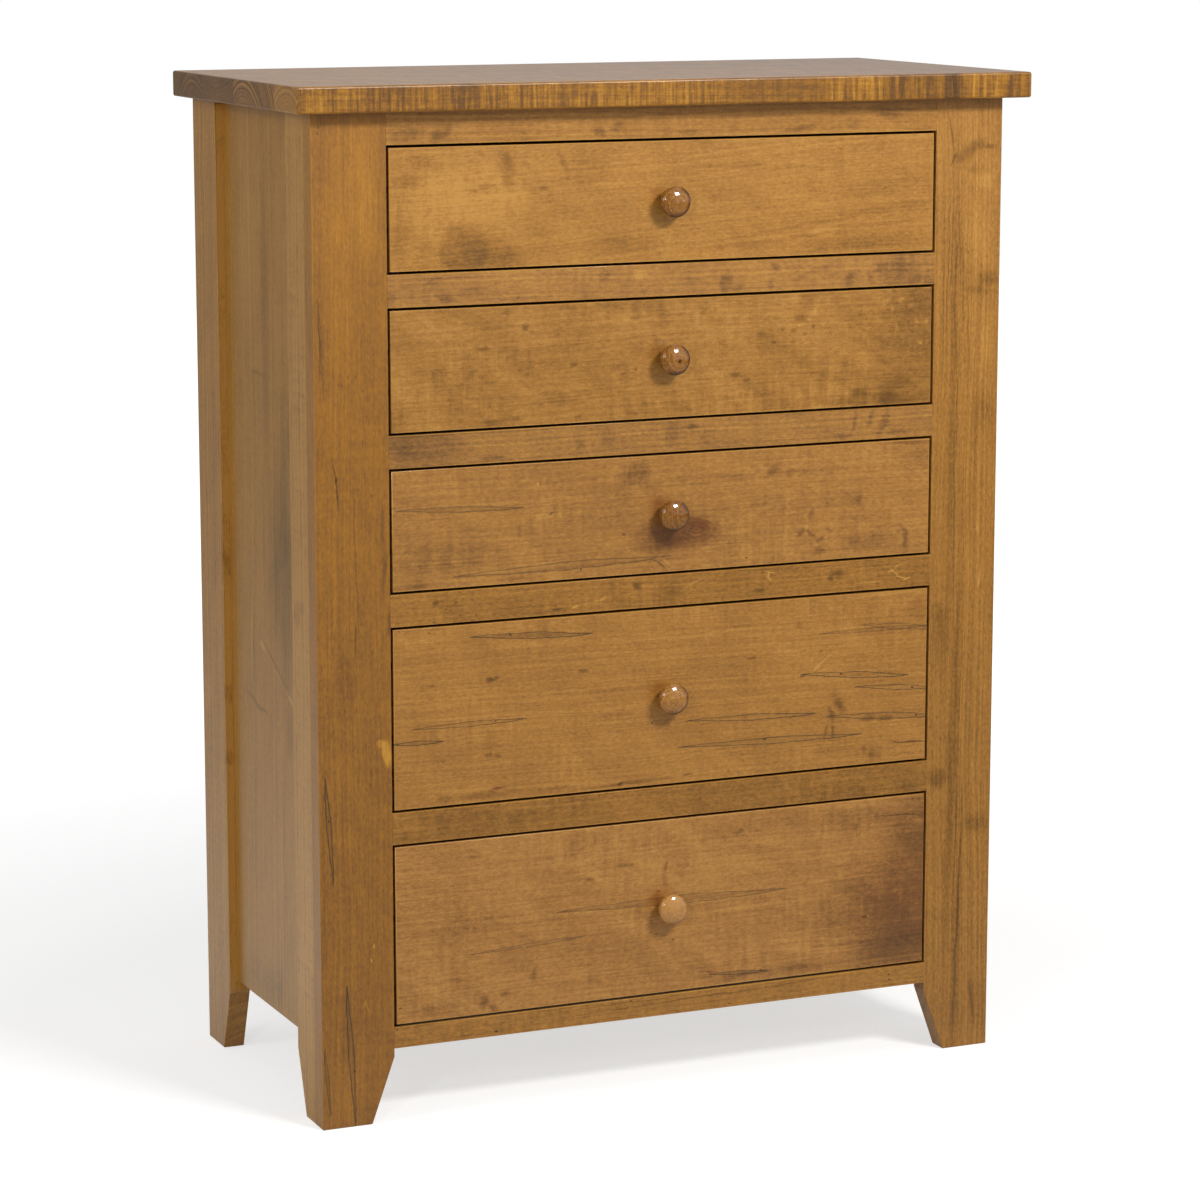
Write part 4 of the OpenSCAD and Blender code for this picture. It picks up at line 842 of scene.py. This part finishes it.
knob_r, back_r, head_length, dome, rim, rounding = 0.01925, 0.01825, 0.0045, 0.004, 0.0055, 0.0065
knob_base, knob_waist, knob_tenon = 0.0115, 0.0085, 0.0055
knob_tones = ((1, 0.55, 1.1, 0), (2, 0.5, 1.1, 0.9), (3, 0.68, 0.8, 0), (4, 0.24, 0.8, 0), (5, 0, 0.5, 0))
for n, tone, rim_shade_depth, dot in knob_tones:
    low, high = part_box(f"drawer_{n}_knob")
    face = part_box(f"drawer_{n}_front")[0].y
    reach = face - low.y
    rim_x, rim_z = knob_r - rim, reach - dome - rim
    back_x, back_z = back_r - rounding, rim_z - head_length
    face_r = (rim_x ** 2 + (dome + rim) ** 2 - rim ** 2) / (2 * dome)
    face_turn = np.arcsin(rim_x / (face_r - rim))
    lean = np.arctan2(rim_x - back_x, head_length)
    side_turn = np.arcsin((rounding - rim) / np.hypot(rim_x - back_x, head_length)) - lean
    under = radians(80)
    under_x, under_z = back_x + rounding * np.cos(under), back_z - rounding * np.sin(under)
    t = np.linspace(0, 1, 13)
    back_turn = -under + t * (under + side_turn)
    rim_turn = side_turn + t * (np.pi / 2 - face_turn - side_turn)
    radius = np.concatenate([
        [0, knob_tenon, knob_tenon], knob_waist + (knob_base - knob_waist) * (1 - t) ** 2,
        (knob_waist + (under_x - knob_waist) * (1 - np.cos(np.pi / 2 * t)))[1:],
        (back_x + rounding * np.cos(back_turn))[1:], rim_x + rim * np.cos(rim_turn),
        (face_r * np.sin(face_turn * (1 - t)))[1:]])
    along = np.concatenate([
        [face - high.y, face - high.y, 0], reach / 5 * t,
        (reach / 5 + (under_z - reach / 5) * np.sin(np.pi / 2 * t))[1:],
        (back_z + rounding * np.sin(back_turn))[1:], rim_z + rim * np.sin(rim_turn),
        (reach - face_r + face_r * np.cos(face_turn * (1 - t)))[1:]])
    middle_z = (low.z + high.z) / 2
    knob = turned(f"drawer_{n}_turned_knob", radius, along, (0, face, middle_z))

    def painted_rim_shade(tree, axes):
        """The knob's tone: a painted shade at the lower right of its rim, the side turned from the lamps, and
        darker at a dot near its middle.
        """
        x, up = axes["x"], calc(tree, "SUBTRACT", axes["z"], middle_z)
        down = calc(tree, "SUBTRACT", middle_z, axes["z"])
        # Painted shade: only the lower right of the rim is darkened.
        lower_right = step_up(tree, calc(tree, "MULTIPLY_ADD", x, 2, down), -0.014, 0.016)
        rim_share = calc(tree, "MULTIPLY", step_up(tree, radius_of(tree, x, up), 0.0125, 0.0182), lower_right)
        streak_breaks_and_rim_shade = calc(tree, "MULTIPLY_ADD", rim_share, rim_shade_depth, tone)
        from_dot = radius_of(tree, calc(tree, "SUBTRACT", x, 0.0017), calc(tree, "ADD", up, 0.0008))
        return {"Base_Tone": calc(tree, "MULTIPLY_ADD", step_up(tree, from_dot, 0.0032, 0.0014), dot, streak_breaks_and_rim_shade)}

    gloss = finished_maple(
        f"drawer_{n}_knob_maple", "yxz", 50.6 + n * 2.3, (0, 0.004, middle_z - 0.003), 0, 0.0025,
        by_place=painted_rim_shade, Ring_Depth=1.2, Light=(0.52, 0.255, 0.07, 1), Middle=(0.32, 0.135, 0.022, 1),
        Dark=(0.15, 0.05, 0.004, 1))
    tree = gloss.node_tree
    fill(tree, tree.nodes["Principled BSDF"], Specular_IOR_Level=0, Coat_Weight=0.8, Coat_IOR=1.75,
         Coat_Roughness=0.1)
    knob.data.materials.append(gloss)
    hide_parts(f"drawer_{n}_knob")
    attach(knob, f"drawer_{n}")

# The drawer boxes: plain maple sides and backs under a clear finish, dovetailed together.
plain = dict(Light=(0.74, 0.56, 0.34, 1), Middle=(0.62, 0.44, 0.25, 1), Dark=(0.4, 0.25, 0.12, 1))
plain_side = finished_maple("plain_maple_sides", "yzx", 71.3, (0, 0.5, 0.2), 0.05, 0.006, **plain)
plain_across = finished_maple("plain_maple_backs", "xzy", 73.9, (0, 0.5, 0.1), 0.05, 0.006, **plain)
drawers = (1, 2, 3, 4, 5)
for n in drawers:
    for part, material in (("side_left", plain_side), ("side_right", plain_side), ("back", plain_across)):
        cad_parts[f"drawer_{n}_{part}"].material_slots[0].material = material

# The carcass inside: runners, kickers and stop blocks along the sides, and two rails at the back.
for node, material in [(f"drawer_runners_{n}", plain_side) for n in drawers] + [
        ("top_kickers", plain_side), ("drawer_stops", plain_side), ("back_rail_top", plain_across),
        ("back_rail_bottom", plain_across)]:
    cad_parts[node].material_slots[0].material = material

# The sheets: birch plywood, loose in the grooves of the drawer boxes and screwed on at the back.
birch = dict(Light=(0.78, 0.61, 0.4, 1), Middle=(0.68, 0.5, 0.31, 1), Dark=(0.46, 0.3, 0.16, 1))
ply_bottom = finished_maple("birch_plywood_bottoms", "xyz", 81.3, (0, 0, 0.02), 0.01, 0.012, **birch)
ply_back = finished_maple("birch_plywood_back", "zxy", 83.3, (0, 0, 0.25), 0.01, 0.012, **birch)
for n in drawers:
    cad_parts[f"drawer_{n}_bottom"].material_slots[0].material = ply_bottom
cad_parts["back_panel"].material_slots[0].material = ply_back

# The screws: zinc-plated steel, countersunk in the back and counterbored under the top.
zinc = bpy.data.materials.new("zinc_steel")
zinc.use_nodes = True
tree = zinc.node_tree
cloudy = noise(tree, add(tree, "TexCoord").node.outputs["Object"], (300, 300, 300), 3)
spangle = blend(tree, cloudy, (0.5, 0.5, 0.48, 1), (0.72, 0.71, 0.68, 1))
fill(tree, tree.nodes["Principled BSDF"], Metallic=1, Base_Color=spangle,
     Roughness=step_up(tree, cloudy, 0.2, 0.8, 0.28, 0.5))
for node in ("back_panel_screws", "top_board_screws"):
    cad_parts[node].material_slots[0].material = zinc
